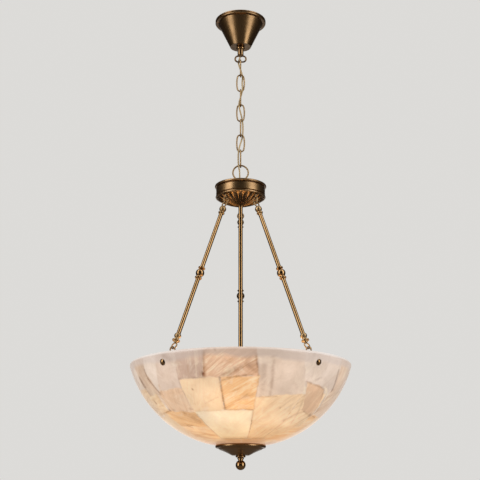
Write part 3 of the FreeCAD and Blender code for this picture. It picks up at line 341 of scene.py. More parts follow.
def outside_profile():
    """The rim's outer quarter, the outside's two arcs at a little over 2 mm a step, and the flat seat in to
    the hole: radius and height from the rim, and the way down the wall from its edge."""
    rim = arc_points(RIM_MIDDLE, WALL / 2 - INSET, EDGE_ANGLE + 90, EDGE_ANGLE, EDGE_ROW + 1)[:-1]
    high = arc_points(UPPER_CENTRE, UPPER_RADIUS - INSET, EDGE_ANGLE, -TURN_ANGLE, 100)
    low = arc_points(LOWER_CENTRE, LOWER_RADIUS - INSET, -TURN_ANGLE, -90, 34)[1:]
    profile = np.concatenate([rim, high, low, [[HOLE_RADIUS, INSET - DEPTH]]])
    way = np.r_[0, np.cumsum(np.linalg.norm(np.diff(profile, axis=0), axis=1))]
    return profile, way - way[EDGE_ROW]


def lining_profile():
    """The rim's inner quarter, the inside's two arcs one wall inside the outer ones, and the hole's wall."""
    rim = arc_points(RIM_MIDDLE, WALL / 2 - INSET, EDGE_ANGLE + 90, EDGE_ANGLE + 180, 12)
    high = arc_points(UPPER_CENTRE, UPPER_RADIUS - WALL, EDGE_ANGLE, -TURN_ANGLE, 60)
    low = arc_points(LOWER_CENTRE, LOWER_RADIUS - WALL, -TURN_ANGLE, -90, 20)
    hole = [[HOLE_RADIUS, WALL - DEPTH], [HOLE_RADIUS, INSET - DEPTH]]
    return np.concatenate([rim, high[1:], low[1:], hole])


OUTSIDE, WAY_DOWN = outside_profile()


def way_at(depth):
    """The way down the wall from its edge at a depth below the rim, and PAST_LIP above the edge."""
    return np.interp(depth, -OUTSIDE[EDGE_ROW:, 1], WAY_DOWN[EDGE_ROW:], left=PAST_LIP)


def scale_at(depth):
    """Millimetres round the wall for one degree at a depth below the rim: pi radius / 180."""
    return np.interp(depth, -OUTSIDE[EDGE_ROW:, 1], OUTSIDE[EDGE_ROW:, 0]) * np.pi / 180


# ---- the bowl's slabs ------------------------------------------------------------

# A slab of stone: its corners in degrees round from the front and millimetres below the rim, top left, top
# right, bottom right and bottom left; its tone; its grain's direction in degrees up from level; how strong
# its streaks and clouds are; and its layer. A slab of a higher layer lies over those that it overlaps.
Slab = namedtuple("Slab", "corners tone grain streaks cloud layer")

CREAM, IVORY, APRICOT = (0.99, 0.76, 0.50), (1.00, 0.87, 0.64), (1.06, 0.77, 0.49)
AMBER, HONEY, ROSE = (1.00, 0.65, 0.34), (0.94, 0.69, 0.48), (0.87, 0.59, 0.40)
WHITE, PALE, PEARL, MILK = (0.86, 0.75, 0.65), (0.87, 0.70, 0.55), (0.82, 0.68, 0.56), (0.81, 0.67, 0.56)
TAN, SAND, GREY = (0.78, 0.55, 0.37), (0.76, 0.60, 0.46), (0.68, 0.51, 0.41)

FRONT_SLABS = [Slab(*values) for values in (
    (((-17.7, -9), (7.0, -9), (9.4, 56.2), (-19.6, 56.6)), ROSE, 35, 1.0, 0.5, 2),
    (((-10.9, 56.7), (9.6, 56.2), (8.5, 120.2), (-10.7, 120.1)), AMBER, 31, 1.0, 0.15, 3),
    (((-34.8, 57.6), (-10.9, 57.7), (-10.7, 121.0), (-33.4, 121.5)), CREAM, 75, 0.25, 0.2, 2),
    (((-33.0, 121.5), (8.5, 120.2), (9.4, 172.0), (-28.0, 171.6)), IVORY, 50, 0.12, 0.15, 2),
    (((9.2, 96.5), (37.8, 85.4), (35.5, 171.6), (9.4, 172.0)), CREAM, 57, 0.5, 0.25, 2),
    (((7.0, -9), (31.2, -9), (38.5, 85.2), (9.3, 96.5)), PEARL, 88, 0.10, 0.12, 1),
    (((31.3, -9), (60.9, -9), (65.1, 70.2), (36.0, 60.2)), WHITE, 45, 0.25, 0.25, 2),
    (((37.8, 60.2), (54.8, 69.2), (61.9, 124.0), (45.2, 114.8)), TAN, 75, 0.3, 0.2, 3),
    (((60.7, -9), (77.5, -9), (76.6, 63.9), (65.1, 70.2)), PALE, 80, 0.5, 0.3, 2),
    (((-46.5, -9), (-32.8, -9), (-34.8, 74.0), (-51.6, 74.0)), MILK, 88, 0.1, 0.3, 2),
    (((-33.0, -9), (-17.7, -9), (-19.8, 56.6), (-34.6, 57.0)), GREY, 86, 0.55, 0.55, 2),
    (((-56.3, -9), (-44.4, -9), (-53.4, 80.1), (-58.8, 30.0)), WHITE, 70, 0.1, 0.15, 2),
    (((-72.5, -9), (-56.3, -9), (-53.7, 80.1), (-67.5, 78.9)), SAND, -70, 0.5, 0.5, 1),
    (((-53.7, 76.0), (-34.8, 74.0), (-33.4, 121.5), (-55.1, 113.8)), HONEY, 80, 0.45, 0.6, 2),
    (((-64.0, 112.0), (-33.4, 121.5), (-30.7, 150.1), (-61.0, 144.0)), AMBER, -28, 0.7, 0.35, 2),
    (((-61.0, 144.0), (-30.7, 150.1), (-28.0, 171.6), (-68.1, 172.5)), APRICOT, -22, 0.8, 0.2, 2),
    (((37.8, 85.4), (59.1, 78.0), (61.5, 143.3), (35.5, 171.6)), CREAM, 50, 0.7, 0.25, 1),
)]

# Level courses round the whole bowl, under the front slabs: top, bottom, number of slabs, tones
COURSES = (
    (-9.0, 62.0, 14, (WHITE, PALE, GREY, WHITE, PALE)),
    (62.0, 120.0, 12, (CREAM, PALE, TAN, CREAM, WHITE)),
    (120.0, 172.0, 8, (CREAM, AMBER, IVORY, CREAM)),
    (172.0, 186.0, 6, (AMBER, CREAM)),
)

# Dark marks on the stone, most of them along a joint: start and end, placed as the slabs' corners are,
# half width in millimetres, and darkness
MARK_SPREAD = 1.55  # half widths at which a mark has faded to a third
MARKS = (
    ((-17.9, 8), (-19.0, 50), 2.6, 0.45), ((-19.4, 50), (-19.4, 53), 3.6, 0.95),
    ((-34.6, 56.6), (-20.2, 57.2), 1.5, 0.4), ((-34.9, 59), (-34.3, 118), 1.3, 0.22),
    ((-32.6, 120.6), (-11.3, 121.2), 1.8, 0.22), ((-11.0, 58), (-10.4, 118), 1.8, 0.62),
    ((-10.7, 116.5), (-10.7, 118), 2.4, 0.6), ((-11.0, 119.8), (8.4, 119.8), 1.4, 0.55),
    ((-58.9, 26.8), (-58.7, 45.8), 1.3, 0.5), ((-58.7, 45.8), (-53.6, 80.2), 2.0, 0.66),
    ((-53.6, 79.4), (-53.6, 80), 2.8, 0.6), ((-68.8, 40.6), (-67.2, 60.6), 4.0, 0.62),
    ((-66.1, 91.0), (-65.8, 96.0), 2.4, 0.5), ((-67.5, 117.0), (-54.9, 113.6), 1.3, 0.6),
    ((-55.9, 113.0), (-55.0, 113.6), 2.4, 0.6), ((-35.5, 114.8), (-34.4, 115.4), 3.0, 0.5),
    ((-51.2, 113.6), (-50.2, 114.0), 2.6, 0.45), ((-44.0, 120.0), (-34.5, 138.0), 6.0, 0.42),
    ((-52.3, 144.6), (-48.8, 149.6), 1.5, 0.5), ((-32.6, 126.0), (-27.4, 170.0), 1.4, 0.42),
    ((-28.1, 171.4), (9.0, 171.8), 1.5, 0.45), ((-28.0, 78.4), (-27.9, 79.0), 1.6, 0.6),
    ((-13.6, 95.8), (-22.7, 106.6), 1.2, 0.3), ((-9.0, 54.0), (0.2, 40.0), 4.2, 0.5),
    ((-7.0, 59.4), (3.0, 54.6), 1.7, 0.65), ((3.0, 54.6), (9.0, 52.0), 1.7, 0.35),
    ((-10.0, 64.0), (-4.0, 59.0), 1.8, 0.5), ((-13.6, 0.0), (-12.0, 5.43), 1.5, 0.5),
    ((7.4, 12.0), (9.2, 55.4), 2.4, 0.5), ((4.0, 36.0), (8.2, 46.0), 6.5, 0.38),
    ((15.8, 18.0), (17.6, 92.0), 3.0, 0.36), ((11.6, 34.0), (12.4, 90.0), 5.0, 0.34),
    ((-40.5, 7.0), (-37.0, 16.0), 5.0, 0.42), ((11.3, 95.6), (22.0, 93.4), 1.5, 0.38),
    ((9.3, 60.0), (8.8, 118.0), 1.4, 0.3), ((8.6, 122.0), (9.3, 171.0), 1.1, 0.5),
    ((37.8, 60.8), (54.2, 69.8), 1.4, 0.42), ((37.9, 62.0), (43.8, 112.0), 1.2, 0.14),
    ((58.4, 121.8), (59.6, 122.6), 3.4, 0.75), ((48.1, 117.2), (59.4, 123.2), 1.4, 0.45),
    ((61.6, 122.0), (54.7, 72.0), 1.2, 0.3), ((61.5, 6.0), (60.9, 27.0), 1.5, 0.22),
    ((61.0, 28.0), (64.0, 68.0), 2.6, 0.6), ((63.8, 67.0), (64.0, 69.0), 2.8, 0.65),
    ((63.1, 122.4), (70.0, 124.4), 1.1, 0.55), ((46.0, 141.0), (40.7, 94.0), 2.2, 0.26),
    ((63.0, 112.0), (59.6, 78.0), 1.4, 0.4), ((43.8, 56.0), (47.4, 49.0), 1.8, 0.35),
    ((27.0, 114.2), (27.1, 114.9), 1.4, 0.5), ((31.0, 168.0), (37.2, 138.0), 1.6, 0.3),
    ((36.0, 137.0), (40.1, 129.4), 3.0, 0.36), ((9.3, 172.2), (33.0, 170.6), 1.4, 0.3),
    ((-38.2, 80.0), (-37.8, 87.0), 5.0, 0.22),
)

GRID_PARTS = ((-180, -100, 0.8), (-100, 100, 0.4), (100, 180, 0.8))     # degrees: start, end, step
COURSE_SEED, SLAB_SEED = 41, 7
EDGE_BLEND = 1.8                            # half the strip in which one slab gives way to the next
COURSE_JOINTS, FRONT_JOINTS = 0.8, 0.25     # how dark joints can be; the front slabs' have marks as well
FAR_FROM_JOINT = 99.0
GRAIN_SHIFT = (0.37, 0.61)                  # metres from one slab's grain to the next's, so that none repeats


def course_slabs():
    """The courses' slabs, with uneven upright joints that lean up to 3 degrees."""
    chance = np.random.default_rng(COURSE_SEED)
    slabs = []
    for top, bottom, count, tones in COURSES:
        joints = (np.arange(count) + chance.uniform(-0.22, 0.22, count)) * 360 / count + chance.uniform(0, 40)
        leans = chance.uniform(-3, 3, count)
        joints, leans = np.append(joints, joints[0] + 360), np.append(leans, leans[0])
        for left, right, lean_left, lean_right in zip(joints, joints[1:], leans, leans[1:]):
            corners = ((left, top), (right, top), (right + lean_right, bottom), (left + lean_left, bottom))
            slabs.append(Slab(corners, tones[chance.integers(len(tones))], chance.uniform(-80, 80),
                              chance.uniform(0.2, 0.9), chance.uniform(0.15, 0.5), 0))
    return slabs


SLABS = course_slabs() + sorted(FRONT_SLABS, key=lambda slab: slab.layer)


def soft_step(value, low, high):
    """0 below low, 1 above high, and the smooth curve 3x^2 - 2x^3 between them."""
    x = np.clip((value - low) / (high - low), 0, 1)
    return x * x * (3 - 2 * x)


def flat_place(azimuth, way, centre, scale):
    """A place on the wall laid flat about a centre azimuth: millimetres across and down."""
    return np.stack([((azimuth - centre + 180) % 360 - 180) * scale, way], axis=-1)


def slab_place(azimuth, way, slab):
    """A place in a slab's own flat frame: millimetres across and down from its middle."""
    centre, middle = np.mean(slab.corners, axis=0)
    return flat_place(azimuth, way, centre, scale_at(middle)) - [0, way_at(middle)]


def inside_slab(azimuth, way, slab, chance):
    """How far each place lies inside a slab's four edges, in millimetres (negative outside), and which edge
    is nearest. The distance to an edge is the cross product with its direction. The edges wander by a
    millimetre or so, on two sine waves."""
    corners = np.array(slab.corners, float)
    centre, middle = corners.mean(axis=0)
    scale = scale_at(middle)
    ends = np.stack([(corners[:, 0] - centre) * scale, way_at(corners[:, 1])], axis=1)
    flat = flat_place(azimuth, way, centre, scale)
    wander = 1.0 * np.sin(0.13 * flat[..., 0] + 0.09 * flat[..., 1] + chance.uniform(0, 6)) \
        + 0.7 * np.sin(0.31 * flat[..., 1] - 0.27 * flat[..., 0] + chance.uniform(0, 6))
    sides = []
    for start, end in zip(ends, np.roll(ends, -1, axis=0)):
        along, away = end - start, flat - start
        sides.append((along[0] * away[..., 1] - along[1] * away[..., 0]) / np.hypot(*along))
    sides = np.stack(sides) + wander
    return sides.min(axis=0), sides.argmin(axis=0)


def stone_pattern(azimuth, way):
    """The slabs laid in order, each one's tone swelling a tenth on two sine waves. Returns the tone, streaks
    and cloud at every place of the wall, its distance from a joint in millimetres, and how dark that is."""
    chance = np.random.default_rng(SLAB_SEED)
    shape = azimuth.shape
    tone, streaks, cloud = np.ones((*shape, 3)), np.zeros(shape), np.zeros(shape)
    joint, strength = np.full(shape, FAR_FROM_JOINT), np.zeros(shape)
    for slab in SLABS:
        depth_in, nearest = inside_slab(azimuth, way, slab, chance)
        across, down = np.moveaxis(slab_place(azimuth, way, slab), -1, 0)
        cover = soft_step(depth_in, -EDGE_BLEND, EDGE_BLEND)
        swell = np.sin(across * 0.045 + chance.uniform(0, 6)) * np.sin(down * 0.06 + chance.uniform(0, 6))
        shade = 1 + 0.10 * swell
        tone = tone * (1 - cover)[..., None] + (cover * shade)[..., None] * np.array(slab.tone)
        streaks, cloud = streaks + cover * (slab.streaks - streaks), cloud + cover * (slab.cloud - cloud)
        closer = (depth_in > 0) | (np.abs(depth_in) < joint)
        darkness = chance.uniform(0, 1, 4) ** 2 * (FRONT_JOINTS if slab.layer else COURSE_JOINTS)
        strength = np.where(closer, darkness[nearest], strength)
        joint = np.where(closer, np.abs(depth_in), joint)
    return tone, streaks, cloud, joint, strength


def mark_darkness(azimuth, way):
    """Darkness of the drawn marks: each falls off as exp(-(distance / width)^2) from its line, where width
    is MARK_SPREAD times its half width."""
    dark = np.zeros(azimuth.shape)
    for start, end, half_width, darkness in MARKS:
        centre, middle = np.mean([start, end], axis=0)
        scale = scale_at(middle)
        a, b = (np.array([(place[0] - centre) * scale, way_at(place[1])]) for place in (start, end))
        flat = flat_place(azimuth, way, centre, scale)
        share = np.clip(((flat - a) @ (b - a)) / ((b - a) @ (b - a)), 0, 1)
        distance = np.linalg.norm(flat - a - share[..., None] * (b - a), axis=-1)
        dark = np.maximum(dark, darkness * np.exp(-(distance / (MARK_SPREAD * half_width)) ** 2))
    return dark


def grain_at_corners(azimuth, way):
    """The wall's faces, and the grain's place at their corners: the place in the frame of the topmost slab
    at the face's middle, turned to that slab's grain and moved on by GRAIN_SHIFT for each slab."""
    chance = np.random.default_rng(SLAB_SEED)
    step = (np.roll(azimuth, -1, axis=1) - azimuth + 180) % 360 - 180
    mid_azimuth, mid_way = (azimuth + step / 2)[:-1], (way[:-1] + way[1:]) / 2
    faces = grid_faces(*azimuth.shape, wrap=True)
    corner_azimuth, corner_way = azimuth.ravel()[faces], way.ravel()[faces]
    grain = np.zeros((len(faces), 4, 2))
    for number, slab in enumerate(SLABS):
        chosen = inside_slab(mid_azimuth, mid_way, slab, chance)[0].ravel() > 0
        chance.uniform(0, 1, 6)  # stone_pattern's other draws for a slab, so that both give the same edges
        flat = slab_place(corner_azimuth[chosen], corner_way[chosen], slab)
        turn = math.radians(slab.grain)
        along = flat @ np.array([math.cos(turn), -math.sin(turn)])
        across = flat @ np.array([math.sin(turn), math.cos(turn)])
        grain[chosen] = np.stack([along, across], axis=-1) * MM + number * np.array(GRAIN_SHIFT)
    return faces, grain


def bowl_slabs(material):
    """The bowl's outside and rim as one polished surface of inlaid slabs, on a grid that is finer at the
    front. The grain UV map is each slab's own place turned to its grain. Attributes hold the tone, the
    marks (streaks, clouds, dark marks) and the joint (distance in tenths of a metre, darkness)."""
    columns = np.concatenate([np.arange(start, end, step) for start, end, step in GRID_PARTS])
    azimuth, way = np.meshgrid(columns, WAY_DOWN)
    tone, streaks, cloud, joint, strength = stone_pattern(azimuth, way)
    dark = mark_darkness(azimuth, way)
    faces, grain = grain_at_corners(azimuth, way)
    points = round_axis(OUTSIDE[:, :1], np.radians(azimuth), RIM_Z + OUTSIDE[:, 1:])
    piece = mesh_piece("bowl_slabs", points, faces, material)
    piece.data.uv_layers.new(name="grain").data.foreach_set("uv", grain.ravel())
    for name, values in (("tone", tone), ("marks", np.stack([streaks, cloud, dark], axis=-1)),
                         ("joint", np.stack([joint / 100, strength, 0 * joint], axis=-1))):
        packed = np.insert(values.reshape(-1, 3), 3, 1.0, axis=1)
        piece.data.attributes.new(name, "FLOAT_COLOR", "POINT").data.foreach_set("color", packed.ravel())
    return piece


# ---- the bowl's stone ------------------------------------------------------------

# The lamps' globes, in metres: each LAMP_REACH out along its holder, which leans up from the hub
LAMP_AZIMUTHS = (0.0, 120.0, 240.0)
LAMP_REACH, LAMP_LEAN, LAMP_HUB = 0.130, math.radians(20.0), -0.969
BULBS = [(LAMP_REACH * math.cos(LAMP_LEAN) * math.sin(math.radians(azimuth)),
          -LAMP_REACH * math.cos(LAMP_LEAN) * math.cos(math.radians(azimuth)),
          LAMP_HUB + LAMP_REACH * math.sin(LAMP_LEAN)) for azimuth in LAMP_AZIMUTHS]
BULB_LIGHT = make_bulb_light(BULBS, full_distance=0.089)

MOTTLE_DARK, MOTTLE_LIGHT = (0.90, 0.875, 0.85), (1.07, 1.07, 1.08)
PALE_CLOUD, PALE_STREAK = (0.98, 0.87, 0.73), (1.0, 0.86, 0.62)
BROWN_HAZE, BROWN_VEIN, STAIN_TINT = (0.56, 0.42, 0.34), (0.50, 0.27, 0.12), (0.29, 0.155, 0.08)
# painted shade of the rim band, paler round the sides than at the front; the clouds and stains in that shade; and
# the lip's painted highlight
RIM_SIDES_SHADE, RIM_FRONT_SHADE = (0.80, 0.71, 0.66), (0.52, 0.435, 0.385)
RIM_CLOUD, RIM_STAIN, LIP_HIGHLIGHT = (0.52, 0.44, 0.39), (0.30, 0.20, 0.14), (0.95, 0.935, 0.92)
# the foot's warmth, painted shade under the cap, and a painted sheen on stone seen edge on
FOOT_TINT, CAP_SHADE, EDGE_ON_SHEEN = (1.06, 0.89, 0.67), (0.58, 0.42, 0.28), (0.99, 0.945, 0.90)
HALF = (0.5, 0.5, 0.5)
GLOW = [(0.0, (0.48, 0.44, 0.42)), (0.35, (0.58, 0.505, 0.45)), (0.7, (0.77, 0.615, 0.47)),
        (1.0, (1.0, 0.97, 0.90))]
LINING_STONE = [(0.34, (0.48, 0.40, 0.33)), (0.48, (0.62, 0.54, 0.48)), (0.68, (0.70, 0.63, 0.57))]
LINING_GLOW = [(0.0, (0.10, 0.08, 0.06)), (1.0, (0.55, 0.38, 0.22))]


def attribute(tree, name):
    """A colour attribute's colour."""
    return add_node(tree, "ShaderNodeAttribute", attribute_name=name).outputs["Color"]


def three_values(tree, name):
    """A colour attribute's three values."""
    return add_node(tree, "ShaderNodeSeparateColor", {0: attribute(tree, name)}).outputs


def alabaster_slabs():
    """Polished slabs with light coming through: brown streaks and pale ones along each slab's grain, clouds
    in the stone, thin joints that come and go, dark marks with ragged edges, and a glow that is strongest
    nearest the bulbs and stops short of the rim."""
    material, tree, shader = new_material("alabaster slabs", Roughness=0.32, Coat_Weight=0.25,
                                          Coat_Roughness=0.12, Emission_Strength=1.0)
    place = object_place(tree)
    _, front_to_back, height = add_node(tree, "ShaderNodeSeparateXYZ", {"Vector": place}).outputs
    streaky, cloudy, dark = three_values(tree, "marks")
    joint, joint_darkness, _ = three_values(tree, "joint")
    grain = add_node(tree, "ShaderNodeUVMap", uv_map="grain").outputs[0]

    def stretched(along, across):
        """The grain's place scaled by one number along it and by another across it."""
        scaled = add_node(tree, "ShaderNodeMapping", {"Vector": grain, "Scale": (along, across, 1.0)})
        return scaled.outputs[0]

    def below_rim(value, start, end, to_start=0.0, to_end=1.0):
        """A height carried from one distance below the rim, in millimetres, to another."""
        return spread(tree, value, (RIM_Z - start) * MM, (RIM_Z - end) * MM, to_start, to_end)

    streaks = noise(tree, stretched(16.0, 150.0), 1.0, 6.0, 0.65, 0.7)
    bands = noise(tree, stretched(9.0, 42.0), 1.0, 5.0, 0.6, 1.2)
    clouds = noise(tree, place, 30.0, 6.0, 0.62, 1.0)
    mottle = noise(tree, place, 30.0, 6.0, 0.60, 0.5)
    fine = noise(tree, place, 140.0, 4.0, 0.6)
    mist = noise(tree, place, 9.0, 3.0, 0.5, 0.6)

    # brown veins and pale shine along the grain, and brown haze
    veins = times(tree, plus(tree, spread(tree, streaks, 0.50, 0.66, 0.0, 0.5),
                             spread(tree, bands, 0.48, 0.66, 0.0, 0.6)), streaky, clamp=True)
    shine = times(tree, spread(tree, plus(tree, streaks, bands), 0.96, 0.78), streaky)
    haze = times(tree, spread(tree, clouds, 0.46, 0.70), cloudy, clamp=True)

    # dark stains with ragged edges, and joints 1 to 3 mm wide
    ragged = plus(tree, spread(tree, clouds, 0.35, 0.65, -0.3, 0.3),
                  spread(tree, fine, 0.3, 0.7, -0.15, 0.15))
    stain = maths(tree, "POWER", times(tree, dark, plus(tree, 1.0, ragged), clamp=True), 1.3)
    width = spread(tree, clouds, 0.35, 0.65, 0.010, 0.030)
    thin = maths(tree, "SUBTRACT", 1.0, maths(tree, "DIVIDE", joint, width), clamp=True)
    hairline = times(tree, times(tree, thin, joint_darkness), spread(tree, mist, 0.38, 0.6, 0.2, 1.0))

    # the slab's tone under all of these
    mottled = mixed(tree, spread(tree, mottle, 0.34, 0.66), MOTTLE_DARK, MOTTLE_LIGHT)
    stone = tinted(tree, attribute(tree, "tone"), mottled)
    for share, colour in ((spread(tree, clouds, 0.48, 0.30, 0.0, 0.40), PALE_CLOUD),
                          (times(tree, shine, 0.7), PALE_STREAK), (times(tree, haze, 0.7), BROWN_HAZE),
                          (times(tree, veins, 0.72), BROWN_VEIN)):
        stone = mixed(tree, share, stone, colour)
    marked = maths(tree, "MAXIMUM", times(tree, hairline, 0.45), stain)
    stone = mixed(tree, marked, stone, tinted(tree, stone, STAIN_TINT))

    # painted shade on the rim, where little light comes through, darker at the front than round the sides; and a
    # painted highlight along its lip
    wavy = plus(tree, height, spread(tree, mist, 0.3, 0.7, -0.006, 0.006))
    front = spread(tree, front_to_back, -0.245, -0.17, 1.0, 0.0)
    # painted shade: the rim band where little light comes through, darker at the front than round the sides
    rim_shaded_stone = mixed(tree, front, RIM_SIDES_SHADE, RIM_FRONT_SHADE)
    rim_shaded_stone = mixed(tree, spread(tree, clouds, 0.35, 0.65, 0.0, 0.35), rim_shaded_stone, RIM_CLOUD)
    rim_shaded_stone = mixed(tree, times(tree, stain, 0.6), rim_shaded_stone, RIM_STAIN)
    stone = mixed(tree, below_rim(wavy, 21, 14, 1.0, 0.35), rim_shaded_stone, stone)
    # painted highlight: a pale line along the lip, weaker at the front
    lip_highlight = times(tree, below_rim(height, 4, 1, 0.0, 0.8), spread(tree, front, 0, 1, 1.0, 0.3))
    stone = mixed(tree, lip_highlight, stone, LIP_HIGHLIGHT)

    # the foot: warmer, and in the cap's shade, and last a painted sheen where the stone is seen edge on
    stone = mixed(tree, below_rim(height, 135, 178), stone, tinted(tree, stone, FOOT_TINT))
    stone = mixed(tree, below_rim(wavy, 173, 180, 0.0, 0.75), stone, tinted(tree, stone, CAP_SHADE))
    # painted sheen: the stone paler where it is seen edge on
    grazing = add_node(tree, "ShaderNodeLayerWeight", {"Blend": 0.18}).outputs["Facing"]
    stone = mixed(tree, spread(tree, grazing, 0.30, 0.85, 0.0, 0.85), stone, EDGE_ON_SHEEN)

    light = use_group(tree, BULB_LIGHT, Place=place)["Light"]
    glow = ramp(tree, spread(tree, light, 0.3, 1.7), GLOW)
    feed(tree, shader.inputs, Base_Color=tinted(tree, stone, HALF), Emission_Color=tinted(tree, stone, glow))
    add_bump(tree, shader, plus(tree, times(tree, veins, -0.3), times(tree, hairline, -0.8)), 0.15, 0.0004)
    return material


def alabaster_lining():
    """The stone's inside and the inner half of its rim: clouded stone, with a warm glow near the bulbs."""
    material, tree, shader = new_material("alabaster lining", Roughness=0.35, Coat_Weight=0.3,
                                          Coat_Roughness=0.15, Emission_Strength=1.0)
    place = object_place(tree)
    clouds = noise(tree, place, 16.0, 6.0, 0.62, 1.4)
    stone = ramp(tree, clouds, LINING_STONE)
    light = use_group(tree, BULB_LIGHT, Place=place)["Light"]
    glow = ramp(tree, spread(tree, light, 0.5, 1.8), LINING_GLOW)
    feed(tree, shader.inputs, Base_Color=stone, Emission_Color=tinted(tree, stone, glow))
    add_bump(tree, shader, clouds, 0.15, 0.0008)
    return material


HANGING = "hanging_bowl"
slabs = bowl_slabs(alabaster_slabs())
lining = turned_piece("bowl_lining", lining_profile() + [0, RIM_Z], alabaster_lining())
for piece in (slabs, lining):
    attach(piece, HANGING)
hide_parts("bowl")


# ---- hub and bottom cap ----------------------------------------------------------

# Profiles (radius, height), from the top down and the outside in
HUB_PROFILE = [
    (24.0, -431.5), (57.6, -436.0), (60.2, -436.5), (61.6, -437.8), (62.0, -439.4), (61.6, -440.9),
    (60.4, -441.9), (57.0, -442.2), (55.8, -442.8), (55.8, -443.9), (57.6, -444.4), (58.6, -444.9),
    (58.8, -445.6), (58.8, -461.0), (58.4, -461.7), (56.4, -462.2), (55.8, -462.9), (56.4, -463.6),
    (58.8, -463.9), (59.7, -464.7), (60.0, -466.0), (59.7, -467.3), (58.8, -468.1), (57.0, -468.4)]
CAP_PROFILE = [
    (30.0, -1053.4), (54.6, -1051.9), (56.4, -1052.6), (57.2, -1054.2), (57.2, -1056.4), (56.4, -1058.0),
    (54.6, -1058.9), (52.2, -1059.0), (50.6, -1059.6), (49.8, -1060.8), (48.0, -1062.0), (40.0, -1065.0),
    (30.0, -1069.4), (22.0, -1073.6), (20.0, -1074.6), (18.6, -1075.0), (9.0, -1075.0)]
CORNER_DRAW = 0.12

FLUTES, FLUTE_STEPS, FLUTE_DEPTH = 24, 20, 2.8
DOME_EDGE, DOME_TIP, DOME_TOP, DOME_LOW = 57.4, 8.5, -467.6, -487.6


def softened(profile):
    """A profile with its corners rounded a little: each is doubled, and its two points are drawn
    CORNER_DRAW of the way towards their neighbours."""
    doubled = np.repeat(np.array(profile), 2, axis=0)
    doubled[1:-1] += CORNER_DRAW * (doubled[:-2] + doubled[2:] - 2 * doubled[1:-1])
    return doubled


def hub_flutes(material):
    """The fluted underside. With u from 0 at the edge to 1 at the tip, the height is that of a cone that
    falls as u^0.75, plus FLUTE_DEPTH (0.55 - rib) reach, where rib = (1 - |cos(12 angle)|)^0.8 makes sharp
    ribs stand down between hollow flutes, and reach = sin(pi u)^0.5 lets them run out at both ends. The
    hollow attribute is 1 deep in a flute."""
    share = np.linspace(0, 1, 40)[:, None]
    angle = full_turn(FLUTES * FLUTE_STEPS)
    cone = DOME_TOP + (DOME_LOW - DOME_TOP) * share ** 0.75
    rib = (1 - np.abs(np.cos(FLUTES / 2 * angle))) ** 0.8
    reach = np.sqrt(np.sin(np.pi * (share * 0.94 + 0.03)))
    points = round_axis(DOME_EDGE + (DOME_TIP - DOME_EDGE) * share, angle,
                        cone + FLUTE_DEPTH * (0.55 - rib) * reach)
    piece = mesh_piece("hub_flutes", points, grid_faces(len(share), len(angle), wrap=True), material)
    hollow = (1 - rib) * reach
    piece.data.attributes.new("hollow", "FLOAT", "POINT").data.foreach_set("value", hollow.ravel())
    return piece


def fluted_brass():
    """Dark brass with painted shade, nearly black, in the hollows between the ribs."""
    material, tree, shader = new_material("fluted brass", Metallic=1.0, Coat_Weight=0.3, Coat_Roughness=0.2)
    wear = use_group(tree, TARNISH, Place=object_place(tree), Cloud_Scale=40.0, Ring_Scale=500.0)
    hollow = add_node(tree, "ShaderNodeAttribute", attribute_name="hollow").outputs["Fac"]
    colour = mixed(tree, wear["Cloud"], (0.42, 0.22, 0.07), (0.30, 0.155, 0.05))
    # painted shade: the flutes' hollows darkened nearly to black
    colour = mixed(tree, spread(tree, hollow, 0.06, 0.5, 0.0, 0.94), colour, (0.035, 0.02, 0.008))
    feed(tree, shader.inputs, Base_Color=colour, Roughness=spread(tree, hollow, 0, 1, 0.26, 0.5))
    return material


TURNED_BRASS = brass("turned brass", (0.40, 0.25, 0.12), (0.30, 0.18, 0.08))
for piece, node, slot in (
        (turned_piece("hub_shell", softened(HUB_PROFILE), TURNED_BRASS), "hub_cover", "aged_brass"),
        (hub_flutes(fluted_brass()), "fluted_dome", "dark_brass"),
        (turned_piece("cap_shell", softened(CAP_PROFILE), TURNED_BRASS), "bottom_cap", "aged_brass")):
    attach(piece, HANGING)
    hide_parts(node)


# ---- flex laced through the chain ------------------------------------------------

FLEX_ROUTE = [
    (0.0, 0.0, -4.0), (0.0, 0.0, -99.0), (-5.4, 5.3, -108.0), (-4.9, 4.8, -117.0), (0.3, 3.0, -132.0),
    (5.6, 5.4, -149.4), (3.4, 0.0, -169.3), (5.4, -5.4, -189.1), (0.0, -3.0, -208.9), (-5.6, -5.6, -228.7),
    (5.9, 5.9, -268.3), (5.9, 5.9, -307.9), (-5.9, -5.9, -347.5), (-5.7, -5.7, -388.0), (0.0, 0.0, -407.0),
    (0.0, 0.0, -960.0)]
FLEX_RADIUS, TWIST_PITCH, FLEX_SIDES = 2.0, 13.0, 14


def flex_line():
    """The flex's centre line, in metres: an order 3 spline with the route's points as its control points."""
    curve = bpy.data.curves.new("flex_route", "CURVE")
    curve.dimensions = "3D"
    spline = curve.splines.new("NURBS")
    spline.points.add(len(FLEX_ROUTE) - 1)
    for point, place in zip(spline.points, FLEX_ROUTE):
        point.co = (place[0] * MM, place[1] * MM, place[2] * MM, 1.0)
    spline.order_u = 3
    spline.use_endpoint_u = True
    curve.resolution_u = 16
    route = bpy.data.objects.new("flex_route", curve)
    bpy.context.scene.collection.objects.link(route)
    bpy.context.view_layer.update()
    line = bpy.data.meshes.new_from_object(route)
    points = np.zeros(len(line.vertices) * 3)
    line.vertices.foreach_get("co", points)
    bpy.data.objects.remove(route)
    bpy.data.curves.remove(curve)
    bpy.data.meshes.remove(line)
    return points.reshape(-1, 3)


